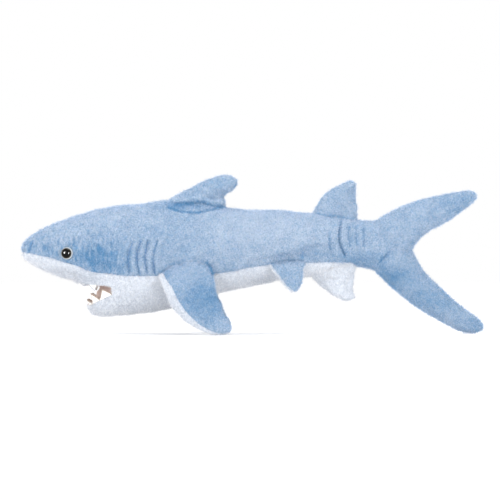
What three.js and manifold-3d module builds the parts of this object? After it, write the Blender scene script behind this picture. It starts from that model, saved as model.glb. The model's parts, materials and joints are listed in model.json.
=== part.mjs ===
// A plush shark, 462 mm from nose to tail tip, lying on its two pectoral fins and its lower tail lobe.
//
// Millimetres. +Z is up, the nose points along -X and the toy's left flank faces -Y. The origin is on the
// surface it rests on, under the middle of its bounding box. The toy is symmetric about the plane y = 0.
//
// Every stuffed part is built the way it is sewn: a closed outer form, a fabric shell of constant
// thickness cut from it along the seams, and the filling that sits inside the shell.

import * as THREE from "three";
import { mergeVertices } from "three/addons/utils/BufferGeometryUtils.js";
import Module from "manifold-3d";

const wasm = await Module();
wasm.setup();

// ---------------------------------------------------------------------------------------------------
// Driving dimensions
// ---------------------------------------------------------------------------------------------------

const NOSE_X = -231; // nose tip
const TAIL_JOINT_X = 108; // where the narrow tail root bends
const FABRIC = 2.4; // thickness of the plush and its backing
const LINING = 1.2; // thickness of the thin felt in the mouth
const GAP = 0.4; // clearance between pieces that touch
const FILLING_INSET = FABRIC + 2.2 * GAP; // from the outside of the fabric to the filling
const FAR = 400; // larger than the toy, for cutting blocks

// Where the body's cross-sections stand, as distances behind the nose: closest on the nose and the chin.
const BODY_STATIONS = [
  0.25, 1, 3, 6, 11, 18, 27, 38, 50, 59, 64, 68, 73, 82, 95, 112, 130, 150, 172, 196, 222, 250, 280,
  310, 339, 351, 359,
];
const BODY_SIDES = 18;
const FIN_STATIONS = 7;
const FIN_SIDES = 10;
const SEAM_STEPS = 26;
const DOME_STEPS = 6;
const THREAD_STEPS = 7;
const TIP_SHARE = 0.03; // how much of a fin's length its inside stops short of the tip, per mm of inset
const THINNEST = 0.5; // the least half thickness of a form that is inset

// Side outlines of the body: [x, z].
const BODY_TOP = [
  [NOSE_X, 84], [-230, 89], [-227, 95], [-215, 104], [-197, 113], [-173, 120.5], [-149, 126.5],
  [-117, 132], [-85, 134.5], [-50, 131], [-13, 127], [35, 124], [62, 121.5], [104, 115], [125, 112],
];
const BODY_BOTTOM = [
  [NOSE_X, 84], [-230.3, 79], [-227, 74], [-215, 66], [-193, 56.5], [-176, 50.5], [-169, 42],
  [-165, 30], [-160.5, 21], [-146, 17.3], [-113, 20], [-88, 24], [-60, 33.5], [-36, 41], [-13, 46],
  [27, 53], [60, 58.5], [104, 67], [125, 66],
];
const BODY_WIDEST_Z = [
  [NOSE_X, 84], [-200, 82], [-150, 78], [-100, 77], [-50, 80], [0, 84], [108, 90.5], [125, 90],
];
const BODY_HALF_WIDTH = [
  [NOSE_X, 1], [-230, 6.5], [-227, 10.5], [-215, 17], [-197, 24], [-173, 29.5], [-149, 33.5],
  [-117, 36], [-70, 37.5], [-36, 37.5], [0, 35], [40, 30.5], [75, 25.5], [108, 19], [128, 16.5],
];
const SIDE_SEAM = [
  [NOSE_X - 10, 83], [NOSE_X, 82], [-208, 77], [-173, 67.5], [-157, 61.5], [-125, 58.3], [-96, 58],
  [-39, 60], [-3, 65.5], [50, 71], [96, 71.5], [102, 69.5], [107, 62], [130, 50],
];

// Mouth and jaw.
const JAW_HINGE = { x: -135, z: 44 };
const LIP_FRONT = { x: -172, z: 27 }; // the lower lip runs straight from here to the hinge
const UPPER_LIP_Z = 47;
const SNOUT_EDGE_Z = 46.5; // the snout panel's lower edge, just under the lip where it turns inwards
const JAW_CLEARANCE = THREE.MathUtils.degToRad(8.5); // each side of the fold under the mouth corner
const SNOUT_SEAM_X = -126; // where the snout panel ends behind the mouth corner

// The mouth pocket is a low vault above the upper lip: [x, half width] and [x, height over the lip].
const POCKET_HALF_WIDTH = [[-168.5, 9], [-165, 16], [-158, 22], [-150, 25], [-140, 26], [-137.5, 24]];
const POCKET_HEIGHT = [[-168.5, 5], [-164, 8], [-156, 10.5], [-148, 10], [-140, 6.5], [-137.5, 3]];
const POCKET_FRONT_X = -168.5;
const POCKET_BACK_X = -137.5;
const LEAST_POCKET_HEIGHT = 0.6;
const JAW_LINING_HALF_WIDTH = [[-156, 10.5], [-149, 14], [-142.5, 15.5]];

// The tail bends in a fold that is open by this angle on each side of the cut.
const TAIL_CLEARANCE = THREE.MathUtils.degToRad(19.5);

// Fins: pairs of [x, z] points from root to tip, on the leading and on the trailing edge, and the
// half thickness at evenly spaced places from root to tip.
const DORSAL = {
  lead: [[-86, 137.2], [-76, 142], [-58, 149.5], [-40, 157.5], [-27, 159]],
  trail: [[-28, 131], [-28.5, 136], [-26.5, 141], [-20, 146.5], [-17.5, 155]],
  half: [3, 7.5, 8, 7.5, 3.5],
};
const SECOND_DORSAL = {
  lead: [[61, 124.2], [67, 132], [78, 141.5], [90, 149.5], [97, 152.5]],
  trail: [[103.5, 118.4], [104.5, 126], [103.5, 136], [103, 145], [101.5, 151]],
  half: [3, 6.5, 6.5, 6, 3],
};
const ANAL = {
  lead: [[60, 55.6], [67, 49], [80, 39], [91, 35.5], [97, 34.9]],
  trail: [[101, 63.8], [100.5, 58], [99, 50], [100, 41], [101, 37]],
  half: [3, 6, 6, 5.5, 3],
};
const PECTORAL = {
  lead: [[-88, 64.5], [-88, 46], [-78, 23], [-62.5, 4], [-44, -4.5]],
  trail: [[-43, 64.5], [-39, 52], [-34.5, 35], [-27, 18], [-21.5, 5]],
  half: [3, 7.5, 8, 7, 4],
  splay: THREE.MathUtils.degToRad(26),
  hinge: { y: 42, z: 66 },
};
const PELVIC = {
  lead: [[20, 68.5], [26, 56], [34, 46], [39, 42.5]],
  trail: [[50, 68.5], [50.2, 60], [49, 53], [47, 45.5]],
  half: [3, 5.5, 5.5, 3],
  splay: THREE.MathUtils.degToRad(25),
  hinge: { y: 30, z: 70 },
};
const UPPER_LOBE = {
  lead: [
    [TAIL_JOINT_X, 114.4], [124, 115], [141, 124], [158, 131.4], [176, 136.4], [194, 139.8], [210, 142.7],
    [218.5, 143.4], [223, 140.5],
  ],
  trail: [
    [TAIL_JOINT_X, 66.6], [128, 61], [150, 72], [163, 90], [177, 104.4], [196, 114.5], [211, 125],
    [219.5, 131], [223.4, 136],
  ],
  half: [19, 17.5, 16, 14.5, 13, 11.5, 10, 7.5, 3],
};
const LOWER_LOBE = {
  lead: [
    [TAIL_JOINT_X, 66.6], [121, 63], [133, 51.5], [148, 40.5], [165, 27.5], [183, 17], [201, 6],
    [215, -0.4], [226, -1], [231, 4.5],
  ],
  trail: [
    [TAIL_JOINT_X, 114.4], [128, 112], [150, 96], [163.5, 76], [176, 57.5], [191, 40.5], [208, 26.3],
    [221, 17], [229, 10.5], [231, 8],
  ],
  half: [19, 18, 16.5, 15, 14, 13, 11.5, 9.5, 6, 2.5],
};

// Trims.
// An eye's heights are measured from the body's mean surface; seat keeps its back clear of the curve.
const EYE = {
  x: -184.7, z: 80.7, radius: 6, dome: 3.6, seat: 1.1, backThick: 0.9, domeGap: 0.3, domeRim: 0.4,
  stemRadius: 1.7, stemLength: 10, washerRadius: 5, washerThick: 1.2, washerDrop: 2.4,
};
const THREAD_RADIUS = 0.5;
const THREAD_LIFT = THREAD_RADIUS + 0.6; // from the body's surface to the middle of the thread
const GILL_TOPS = [[-119, 93.2], [-111, 94.4], [-103.3, 94.4], [-94.6, 94.4]];
const GILL_FEET = [[-122.3, 60.5], [-112.2, 60.5], [-104.7, 60.3], [-97.4, 60.3]];
const GILL_BOW = 3.8; // how far each gill arc bows forward
const NOSTRIL = [[-218.9, 94], [-221.5, 88.5], [-223.2, 82.8]];

// ---------------------------------------------------------------------------------------------------
// Materials
// ---------------------------------------------------------------------------------------------------

const plain = (color, roughness) => new THREE.MeshStandardMaterial({ color, roughness, metalness: 0 });
const bluePlush = () => plain(0x9fbade, 1);
const whitePlush = () => plain(0xdde3ec, 1);
const whiteFelt = () => plain(0xf2efe9, 0.95);
const mouthFelt = () => plain(0xc9a48f, 0.95);
const filling = () => plain(0xf5f5f2, 1);
const thread = () => plain(0x5d8fb6, 0.8);
const eyeDome = () => plain(0x8a8460, 0.05);
const eyeBlack = () => plain(0x0c0c0e, 0.15);
const washerPlastic = () => plain(0xe8e8e4, 0.5);

// ---------------------------------------------------------------------------------------------------
// Curves and solids
// ---------------------------------------------------------------------------------------------------

/** A smooth value-of-x curve through [x, value] points, without overshoot (monotone cubic). */
function profile(points) {
  const slopes = points.slice(1).map(([x, v], i) => (v - points[i][1]) / (x - points[i][0]));
  const tangents = points.map((_, i) => {
    if (i === 0 || i === points.length - 1) return slopes[Math.max(0, i - 1)];
    const [before, after] = [slopes[i - 1], slopes[i]];
    return before * after <= 0 ? 0 : (2 * before * after) / (before + after);
  });
  return (x) => {
    const at = THREE.MathUtils.clamp(x, points[0][0], points[points.length - 1][0]);
    let i = 0;
    while (i < points.length - 2 && at > points[i + 1][0]) i += 1;
    const width = points[i + 1][0] - points[i][0];
    const t = (at - points[i][0]) / width;
    const rise = t * t * (3 - 2 * t);
    return (
      points[i][1] * (1 - rise) +
      points[i + 1][1] * rise +
      width * t * (1 - t) * ((1 - t) * tangents[i] - t * tangents[i + 1])
    );
  };
}

/** Values given at evenly spaced places from 0 to 1, as a smooth curve. */
function spread(values) {
  return profile(values.map((v, i) => [i / (values.length - 1), v]));
}

/** A closed surface through rings of points, with a flat fan over each end ring. */
function loft(rings) {
  const sides = rings[0].length;
  const points = rings.flat();
  const faces = [];
  for (let i = 0; i < rings.length - 1; i += 1) {
    for (let j = 0; j < sides; j += 1) {
      const next = (j + 1) % sides;
      const [a, b, c, d] = [i * sides + j, i * sides + next, (i + 1) * sides + next, (i + 1) * sides + j];
      faces.push([a, b, c], [a, c, d]);
    }
  }
  for (const [ring, turn] of [[0, 1], [rings.length - 1, -1]]) {
    const centre = new THREE.Vector3();
    rings[ring].forEach((p) => centre.addScaledVector(p, 1 / sides));
    const hub = points.push(centre) - 1;
    for (let j = 0; j < sides; j += 1) {
      const [a, b] = [ring * sides + j, ring * sides + ((j + 1) % sides)];
      faces.push(turn > 0 ? [hub, b, a] : [hub, a, b]);
    }
  }
  const volume = faces.reduce((sum, [a, b, c]) => {
    return sum + points[a].dot(new THREE.Vector3().crossVectors(points[b], points[c])) / 6;
  }, 0);
  const index = volume > 0 ? faces.flat() : faces.map(([a, b, c]) => [a, c, b]).flat();
  const geometry = new THREE.BufferGeometry().setFromPoints(points);
  geometry.setIndex(index);
  return geometry;
}

/** A closed three.js geometry as a solid that can be joined and cut. */
function toSolid(geometry) {
  const bare = geometry.clone();
  bare.deleteAttribute("normal");
  bare.deleteAttribute("uv");
  const merged = mergeVertices(bare, 1e-4);
  return new wasm.Manifold(
    new wasm.Mesh({
      numProp: 3,
      vertProperties: new Float32Array(merged.attributes.position.array),
      triVerts: new Uint32Array(merged.index.array),
    }),
  );
}

/** A named piece from a solid. */
function piece(name, solid, material) {
  const { vertProperties, triVerts } = solid.getMesh();
  const geometry = new THREE.BufferGeometry();
  geometry.setAttribute("position", new THREE.BufferAttribute(new Float32Array(vertProperties), 3));
  geometry.setIndex(new THREE.BufferAttribute(new Uint32Array(triVerts), 1));
  geometry.computeVertexNormals();
  const mesh = new THREE.Mesh(geometry, material);
  mesh.name = name;
  return mesh;
}

/** A block with the side outline given as [x, z] points, from one y to another. */
function block(outline, yFrom = -FAR, yTo = FAR) {
  const shape = new THREE.Shape(outline.map(([x, z]) => new THREE.Vector2(x, z)));
  const geometry = new THREE.ExtrudeGeometry(shape, { depth: yTo - yFrom, bevelEnabled: false });
  geometry.rotateX(Math.PI / 2);
  geometry.translate(0, yTo, 0);
  return toSolid(geometry);
}

/** The block above (side 1) or below (side -1) a curve, moved away from it by offset. */
function beside(curve, side, offset) {
  const [from, to] = [NOSE_X - 8, TAIL_JOINT_X + 16];
  const edge = Array.from({ length: SEAM_STEPS + 1 }, (_, i) => {
    const x = from + ((to - from) * i) / SEAM_STEPS;
    return [x, curve(x) + side * offset];
  });
  return block([...edge, [to, side * FAR], [from, side * FAR]]);
}

/** The space above the surface that the toy rests on, raised by height. */
const aboveFloor = (height) => block([[-FAR, height], [FAR, height], [FAR, FAR], [-FAR, FAR]]);

// ---------------------------------------------------------------------------------------------------
// Body
// ---------------------------------------------------------------------------------------------------

const bodyTop = profile(BODY_TOP);
const bodyBottom = profile(BODY_BOTTOM);
const bodyWidest = profile(BODY_WIDEST_Z);
const bodyHalfWidth = profile(BODY_HALF_WIDTH);
const sideSeam = profile(SIDE_SEAM);

/** The body's cross-section at x: an oval, rounder above its widest height than below it. */
function bodyRing(x, inset, sides) {
  const [top, wide, low] = [bodyTop(x) - inset, bodyWidest(x), bodyBottom(x) + inset];
  const half = bodyHalfWidth(x) - inset;
  return Array.from({ length: sides }, (_, j) => {
    const angle = (2 * Math.PI * j) / sides;
    const reach = Math.cos(angle) > 0 ? top - wide : wide - low;
    const across = Math.sign(Math.sin(angle)) * Math.abs(Math.sin(angle)) ** 0.9;
    return new THREE.Vector3(x, half * across, wide + reach * Math.cos(angle));
  });
}

/** Half the body's width at a point of its side view. */
function bodySurfaceY(x, z) {
  const wide = bodyWidest(x);
  const reach = z > wide ? bodyTop(x) - wide : wide - bodyBottom(x);
  const height = THREE.MathUtils.clamp((z - wide) / reach, -1, 1);
  return bodyHalfWidth(x) * Math.sqrt(1 - height * height) ** 0.9;
}

/** The closed body form, inset all round, and reaching past the tail joint by the last stations. */
function bodySolid(inset) {
  const from = inset > 0 ? inset + 1 : 0;
  const behind = [from, ...BODY_STATIONS.filter((distance) => distance > from + 0.5)];
  const rings = (inset > 0 ? behind : BODY_STATIONS).map((d) => bodyRing(NOSE_X + d, inset, BODY_SIDES));
  return toSolid(loft(rings));
}

const pocketHalfWidth = profile(POCKET_HALF_WIDTH);
const pocketHeight = profile(POCKET_HEIGHT);

const squarish = (value) => Math.sign(value) * Math.abs(value) ** 0.6;

/** The mouth pocket, inset all round. */
function pocketSolid(inset) {
  const [start, end] = [POCKET_FRONT_X + inset, POCKET_BACK_X - inset];
  const [stations, sides] = [7, 14];
  const rings = Array.from({ length: stations }, (_, i) => {
    const x = start + ((end - start) * i) / (stations - 1);
    return Array.from({ length: sides }, (_unused, j) => {
      const angle = (2 * Math.PI * j) / sides;
      const y = (pocketHalfWidth(x) - inset) * squarish(Math.cos(angle));
      const rise = Math.max(LEAST_POCKET_HEIGHT, pocketHeight(x) - inset);
      const z = UPPER_LIP_Z + rise * squarish(Math.sin(angle));
      return new THREE.Vector3(x, y, z);
    });
  });
  return toSolid(loft(rings));
}

/** The height of the lower lip line at x. */
function lipZ(x) {
  const slope = (JAW_HINGE.z - LIP_FRONT.z) / (JAW_HINGE.x - LIP_FRONT.x);
  return JAW_HINGE.z + slope * (x - JAW_HINGE.x);
}

/** The jaw's side outline: under the lip line, in front of the fold at the mouth corner. */
function jawOutline(offset) {
  const foldX = JAW_HINGE.x - Math.tan(JAW_CLEARANCE) * JAW_HINGE.z - offset;
  return [
    [-200, lipZ(-200) - offset],
    [JAW_HINGE.x - offset, lipZ(JAW_HINGE.x) - offset],
    [foldX, 0],
    [foldX, -10],
    [-200, -10],
  ];
}

/** What is taken out of the torso: the open mouth, the jaw and the fold behind the jaw. */
function mouthOutline() {
  return [
    [-200, UPPER_LIP_Z + 2],
    [-170, UPPER_LIP_Z + 2],
    [JAW_HINGE.x, UPPER_LIP_Z - 0.6],
    [JAW_HINGE.x + GAP, JAW_HINGE.z],
    [JAW_HINGE.x + GAP + Math.tan(JAW_CLEARANCE) * JAW_HINGE.z, 0],
    [JAW_HINGE.x + 10, -10],
    [-200, -10],
  ];
}

/** The end block of the torso (side -1) or of the tail (side 1), with its V-shaped fold seen from above. */
function foldBlock(side) {
  const slope = Math.tan(TAIL_CLEARANCE);
  const reach = 60;
  const tip = TAIL_JOINT_X + (side * GAP) / 2;
  const outline = [
    [tip, 0],
    [tip + side * slope * reach, reach],
    [tip + side * FAR, reach],
    [tip + side * FAR, -reach],
    [tip + side * slope * reach, -reach],
  ];
  const shape = new THREE.Shape(outline.map(([x, y]) => new THREE.Vector2(x, y)));
  const geometry = new THREE.ExtrudeGeometry(shape, { depth: 2 * FAR, bevelEnabled: false });
  geometry.translate(0, 0, -FAR);
  return toSolid(geometry);
}

/** The eye's place: where its base meets the body, and the direction it faces. */
function eyePlace(side) {
  const at = (x, z) => new THREE.Vector3(x, side * bodySurfaceY(x, z), z);
  const along = at(EYE.x + 1, EYE.z).sub(at(EYE.x - 1, EYE.z));
  const up = at(EYE.x, EYE.z + 1).sub(at(EYE.x, EYE.z - 1));
  const normal = new THREE.Vector3().crossVectors(along, up).normalize();
  normal.multiplyScalar(Math.sign(normal.y) * side);
  const turn = new THREE.Quaternion().setFromUnitVectors(new THREE.Vector3(0, 0, 1), normal);
  return { base: at(EYE.x, EYE.z), turn };
}

/** A round turned solid, given as [radius, height] points that start and end on its axis. */
function turned(outline, segments = 16) {
  const points = outline.map(([radius, height]) => new THREE.Vector2(radius, height));
  return new THREE.LatheGeometry(points, segments).rotateX(Math.PI / 2);
}

/** Room for an eye: its stem through the fabric, and its washer and stem in the filling. */
function eyeRoom(side, radius) {
  const { base, turn } = eyePlace(side);
  const depth = EYE.stemLength + 2;
  const geometry = turned([[0, -depth], [radius, -depth], [radius, 8], [0, 8]]);
  geometry.applyQuaternion(turn);
  geometry.translate(base.x, base.y, base.z);
  return toSolid(geometry);
}

function buildTorso() {
  const outer = bodySolid(0);
  const core = bodySolid(FABRIC);
  const fill = bodySolid(FILLING_INSET);
  const mouth = block(mouthOutline());
  const torsoEnd = foldBlock(-1);
  const pocket = pocketSolid(0);
  const shell = outer.subtract(core).intersect(torsoEnd).subtract(mouth).subtract(pocket);

  const group = new THREE.Group();
  for (const [name, side] of [["left", -1], ["right", 1]]) {
    const panel = shell.intersect(beside(sideSeam, 1, GAP / 2)).intersect(halfSpace(side));
    const pierced = panel.subtract(eyeRoom(side, EYE.stemRadius + GAP));
    group.add(piece(`side_panel_${name}`, pierced, bluePlush()));
  }
  const under = shell.intersect(beside(sideSeam, -1, GAP / 2));
  const snoutBlock = (gap) => {
    const [back, low] = [SNOUT_SEAM_X + gap, SNOUT_EDGE_Z - gap];
    return block([[-FAR, low], [back, low], [back, FAR], [-FAR, FAR]]);
  };
  group.add(piece("snout_panel", under.intersect(snoutBlock(0)), whitePlush()));
  group.add(piece("belly_panel", under.subtract(snoutBlock(GAP)), whitePlush()));

  const pocketRoom = pocketSolid(-GAP);
  const body = fill.intersect(torsoEnd).subtract(mouth).subtract(pocketRoom);
  const washerRooms = eyeRoom(-1, EYE.washerRadius + GAP).add(eyeRoom(1, EYE.washerRadius + GAP));
  group.add(piece("torso_filling", body.subtract(washerRooms), filling()));
  return group;
}

// ---------------------------------------------------------------------------------------------------
// Mouth
// ---------------------------------------------------------------------------------------------------

/** A U-shaped strip of felt standing in the mouth, with one saw-toothed edge. */
function toothStrip({ halfWidth, frontX, backX, thick, teeth, baseZ, lipAt, toothHeight, down }) {
  const steps = teeth * 2;
  const rows = Array.from({ length: steps + 1 }, (_, i) => {
    const angle = Math.PI * (i / steps - 0.5);
    const x = backX + (frontX - backX) * Math.cos(angle) ** 0.8;
    const y = halfWidth * Math.sin(angle);
    const outward = new THREE.Vector2(-Math.cos(angle) * 0.9, Math.sin(angle)).normalize();
    const inner = new THREE.Vector2(x - outward.x * thick, y - outward.y * thick);
    const edge = lipAt(x) + (i % 2 ? toothHeight : 0) * (down ? -1 : 1);
    return [
      new THREE.Vector3(x, y, baseZ(x)),
      new THREE.Vector3(inner.x, inner.y, baseZ(x)),
      new THREE.Vector3(inner.x, inner.y, edge),
      new THREE.Vector3(x, y, edge),
    ];
  });
  return toSolid(loft(rows));
}

const UPPER_TEETH = {
  halfWidth: 21, frontX: -164.2, backX: -142, thick: LINING, teeth: 7, down: true, toothHeight: 4.5,
  baseZ: () => UPPER_LIP_Z + 4,
  lipAt: () => UPPER_LIP_Z + 2.5,
};
const LOWER_TEETH = {
  halfWidth: 19, frontX: -161.5, backX: -143, thick: LINING, teeth: 7, down: false, toothHeight: 8,
  baseZ: (x) => lipZ(x) + GAP,
  lipAt: (x) => lipZ(x) + 2.2,
};

function buildMouth() {
  const group = new THREE.Group();
  const vault = block([[-FAR, UPPER_LIP_Z + 0.3], [FAR, UPPER_LIP_Z + 0.3], [FAR, FAR], [-FAR, FAR]]);
  const roof = pocketSolid(GAP).subtract(pocketSolid(GAP + LINING)).intersect(vault);
  group.add(piece("palate_lining", roof, mouthFelt()));
  group.add(piece("upper_teeth", toothStrip(UPPER_TEETH), whiteFelt()));
  return group;
}

function buildJaw() {
  const group = new THREE.Group();
  const region = block(jawOutline(GAP));
  const shell = bodySolid(0).subtract(bodySolid(FABRIC)).intersect(region);
  group.add(piece("chin_panel", shell, whitePlush()));
  const below = block(jawOutline(GAP + 0.6));
  group.add(piece("chin_filling", bodySolid(FILLING_INSET).intersect(below), filling()));
  const liningRings = JAW_LINING_HALF_WIDTH.map(([x, halfWidth]) => {
    const low = lipZ(x) + 2 * GAP;
    return [[-1, low], [1, low], [1, low + LINING], [-1, low + LINING]].map(([side, z]) => {
      return new THREE.Vector3(x, side * halfWidth, z);
    });
  });
  group.add(piece("jaw_lining", toSolid(loft(liningRings)), mouthFelt()));
  group.add(piece("lower_teeth", toothStrip(LOWER_TEETH), whiteFelt()));
  return group;
}

// ---------------------------------------------------------------------------------------------------
// Fins and tail
// ---------------------------------------------------------------------------------------------------

/** A fin as oval rings from root to tip, in its own plane y = 0, inset all round and open at the root. */
function finSolid({ lead, trail, half }, inset, rootReach = 0) {
  const curve = (points) => new THREE.SplineCurve(points.map(([x, z]) => new THREE.Vector2(x, z)));
  const [leading, trailing, thickness] = [curve(lead), curve(trail), spread(half)];
  const lastRing = 1 - TIP_SHARE * inset;
  const rings = [];
  for (let i = 0; i <= FIN_STATIONS; i += 1) {
    const t = (lastRing * i) / FIN_STATIONS;
    const [front, back] = [leading.getPoint(t), trailing.getPoint(t)];
    const chord = back.clone().sub(front);
    const reach = Math.max(chord.length() / 2 - inset, THINNEST);
    const rise = Math.max(thickness(t) - inset, THINNEST);
    const middle = front.clone().add(back).multiplyScalar(0.5);
    chord.normalize();
    rings.push(
      Array.from({ length: FIN_SIDES }, (_, j) => {
        const angle = (2 * Math.PI * j) / FIN_SIDES;
        const at = middle.clone().addScaledVector(chord, reach * Math.cos(angle));
        return new THREE.Vector3(at.x, rise * Math.sin(angle), at.y);
      }),
    );
  }
  if (rootReach > 0) {
    const outward = new THREE.Vector3().subVectors(rings[0][4], rings[1][4]).setY(0).setLength(rootReach);
    rings.unshift(rings[0].map((p) => p.clone().add(outward)));
  }
  return toSolid(loft(rings));
}

/** One side of the plane y = 0, left (-1) or right (1), less half of the gap at the seam. */
function halfSpace(side) {
  const everywhere = [[-FAR, -FAR], [FAR, -FAR], [FAR, FAR], [-FAR, FAR]];
  return side < 0 ? block(everywhere, -FAR, -GAP / 2) : block(everywhere, GAP / 2, FAR);
}

/** A sewn fin: two fabric panels that meet in the fin's plane, and the filling between them.
 *  above(height) is the space over the surface that the toy rests on, raised by height. */
function fin(name, shape, panels, above = null) {
  const group = new THREE.Group();
  const layer = (inset, rootReach) => {
    const form = finSolid(shape, inset, rootReach);
    return above ? form.intersect(above(inset)) : form;
  };
  const shell = layer(0, 0).subtract(layer(FABRIC, 6));
  for (const { label, side, material } of panels) {
    group.add(piece(`${name}_${label}`, shell.intersect(halfSpace(side)), material()));
  }
  group.add(piece(`${name}_filling`, layer(FILLING_INSET, 0), filling()));
  return group;
}

/** A fin of the middle plane, with a left and a right panel. */
function middleFin(name, shape, material) {
  return fin(name, shape, [
    { label: "panel_left", side: -1, material },
    { label: "panel_right", side: 1, material },
  ]);
}

/** A paired fin: its outline is drawn in side view, so it is stretched back to its true length. */
function pairedFin(name, shape, side) {
  const { splay, hinge } = shape;
  const flat = ([x, z]) => [x, (z - hinge.z) / Math.cos(splay)];
  const group = new THREE.Group();
  group.position.set(0, side * hinge.y, hinge.z);
  group.rotation.x = side * splay;
  group.updateMatrix();
  const above = (height) => aboveFloor(height).transform(group.matrix.clone().invert().elements);
  const local = { ...shape, lead: shape.lead.map(flat), trail: shape.trail.map(flat) };
  const panels = [
    { label: "outer_panel", side, material: bluePlush },
    { label: "under_panel", side: -side, material: whitePlush },
  ];
  group.add(fin(name, local, panels, above));
  return group;
}

function buildTail() {
  const group = new THREE.Group();
  const lobes = (inset) => {
    return finSolid(UPPER_LOBE, inset).add(finSolid(LOWER_LOBE, inset)).intersect(aboveFloor(inset));
  };
  const behindFold = foldBlock(1);
  const shell = lobes(0).subtract(lobes(FABRIC)).intersect(behindFold);
  group.add(piece("tail_panel_left", shell.intersect(halfSpace(-1)), bluePlush()));
  group.add(piece("tail_panel_right", shell.intersect(halfSpace(1)), bluePlush()));
  group.add(piece("tail_filling", lobes(FILLING_INSET).intersect(behindFold), filling()));
  return group;
}

// ---------------------------------------------------------------------------------------------------
// Eyes and stitches
// ---------------------------------------------------------------------------------------------------

/** A safety eye: a clear dome over a black back whose stem passes through the fabric to a washer. */
function buildEye(name, side) {
  const { base, turn } = eyePlace(side);
  const group = new THREE.Group();
  group.position.copy(base);
  group.quaternion.copy(turn);
  const backTop = EYE.seat + EYE.backThick;
  const backRadius = EYE.radius - EYE.domeGap;
  const back = turned([
    [0, -EYE.stemLength], [EYE.stemRadius, -EYE.stemLength], [EYE.stemRadius, EYE.seat],
    [backRadius, EYE.seat], [backRadius, backTop], [0, backTop],
  ]);
  const domeBase = backTop + EYE.domeGap;
  const dome = turned([
    [0, domeBase], [EYE.radius, domeBase],
    ...Array.from({ length: DOME_STEPS - 1 }, (_, i) => {
      const angle = ((i + 1) * Math.PI) / 2 / DOME_STEPS;
      return [EYE.radius * Math.cos(angle), domeBase + EYE.domeRim + EYE.dome * Math.sin(angle)];
    }),
    [0, domeBase + EYE.domeRim + EYE.dome],
  ]);
  const washerTop = -FABRIC - EYE.washerDrop;
  const washerBase = washerTop - EYE.washerThick;
  const [hole, rim] = [EYE.stemRadius + EYE.domeGap, EYE.washerRadius];
  const washer = turned([
    [hole, washerBase], [rim, washerBase], [rim, washerTop], [hole, washerTop], [hole, washerBase],
  ]);
  group.add(piece(`${name}_back`, toSolid(back), eyeBlack()));
  group.add(piece(`${name}_dome`, toSolid(dome), eyeDome()));
  group.add(piece(`${name}_washer`, toSolid(washer), washerPlastic()));
  return group;
}

/** A line of thread lying on the body's side, through [x, z] points of the side view. */
function stitch(name, points, side) {
  const sideView = new THREE.SplineCurve(points.map(([x, z]) => new THREE.Vector2(x, z)));
  const onBody = ({ x, y: z }) => new THREE.Vector3(x, side * (bodySurfaceY(x, z) + THREAD_LIFT), z);
  const path = new THREE.CatmullRomCurve3(sideView.getPoints(THREAD_STEPS + 1).map(onBody));
  const section = new THREE.Shape();
  section.absarc(0, 0, THREAD_RADIUS, 0, 2 * Math.PI);
  const tube = new THREE.ExtrudeGeometry(section, {
    extrudePath: path,
    steps: THREAD_STEPS,
    curveSegments: 2,
    bevelEnabled: false,
  });
  return piece(name, toSolid(tube), thread());
}

function buildStitches() {
  const group = new THREE.Group();
  for (const [label, side] of [["left", -1], ["right", 1]]) {
    GILL_TOPS.forEach(([topX, topZ], i) => {
      const [footX, footZ] = GILL_FEET[i];
      const middle = [(topX + footX) / 2 - GILL_BOW, (topZ + footZ) / 2];
      group.add(stitch(`gill_stitch_${label}_${i + 1}`, [[topX, topZ], middle, [footX, footZ]], side));
    });
    group.add(stitch(`nostril_stitch_${label}`, NOSTRIL, side));
  }
  return group;
}

// ---------------------------------------------------------------------------------------------------
// The whole toy
// ---------------------------------------------------------------------------------------------------

const shark = new THREE.Group();
shark.add(buildTorso());
shark.add(buildMouth());
shark.add(buildJaw());
shark.add(buildEye("eye_left", -1));
shark.add(buildEye("eye_right", 1));
shark.add(buildStitches());
shark.add(middleFin("dorsal", DORSAL, bluePlush));
shark.add(middleFin("second_dorsal", SECOND_DORSAL, bluePlush));
shark.add(middleFin("anal", ANAL, whitePlush));
shark.add(pairedFin("pectoral_left", PECTORAL, -1));
shark.add(pairedFin("pectoral_right", PECTORAL, 1));
shark.add(pairedFin("pelvic_left", PELVIC, -1));
shark.add(pairedFin("pelvic_right", PELVIC, 1));
shark.add(buildTail());

export default shark;
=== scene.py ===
"""The looks of the plush shark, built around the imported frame.

Lengths in this file are millimetres in the row frame (X nose to tail, Y left flank to right flank, Z up),
and become metres where a mesh is made. The outlines follow the CAD part's, moved by up to about 3 mm where
the pile stands on the skin.
"""

import json
import math

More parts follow.
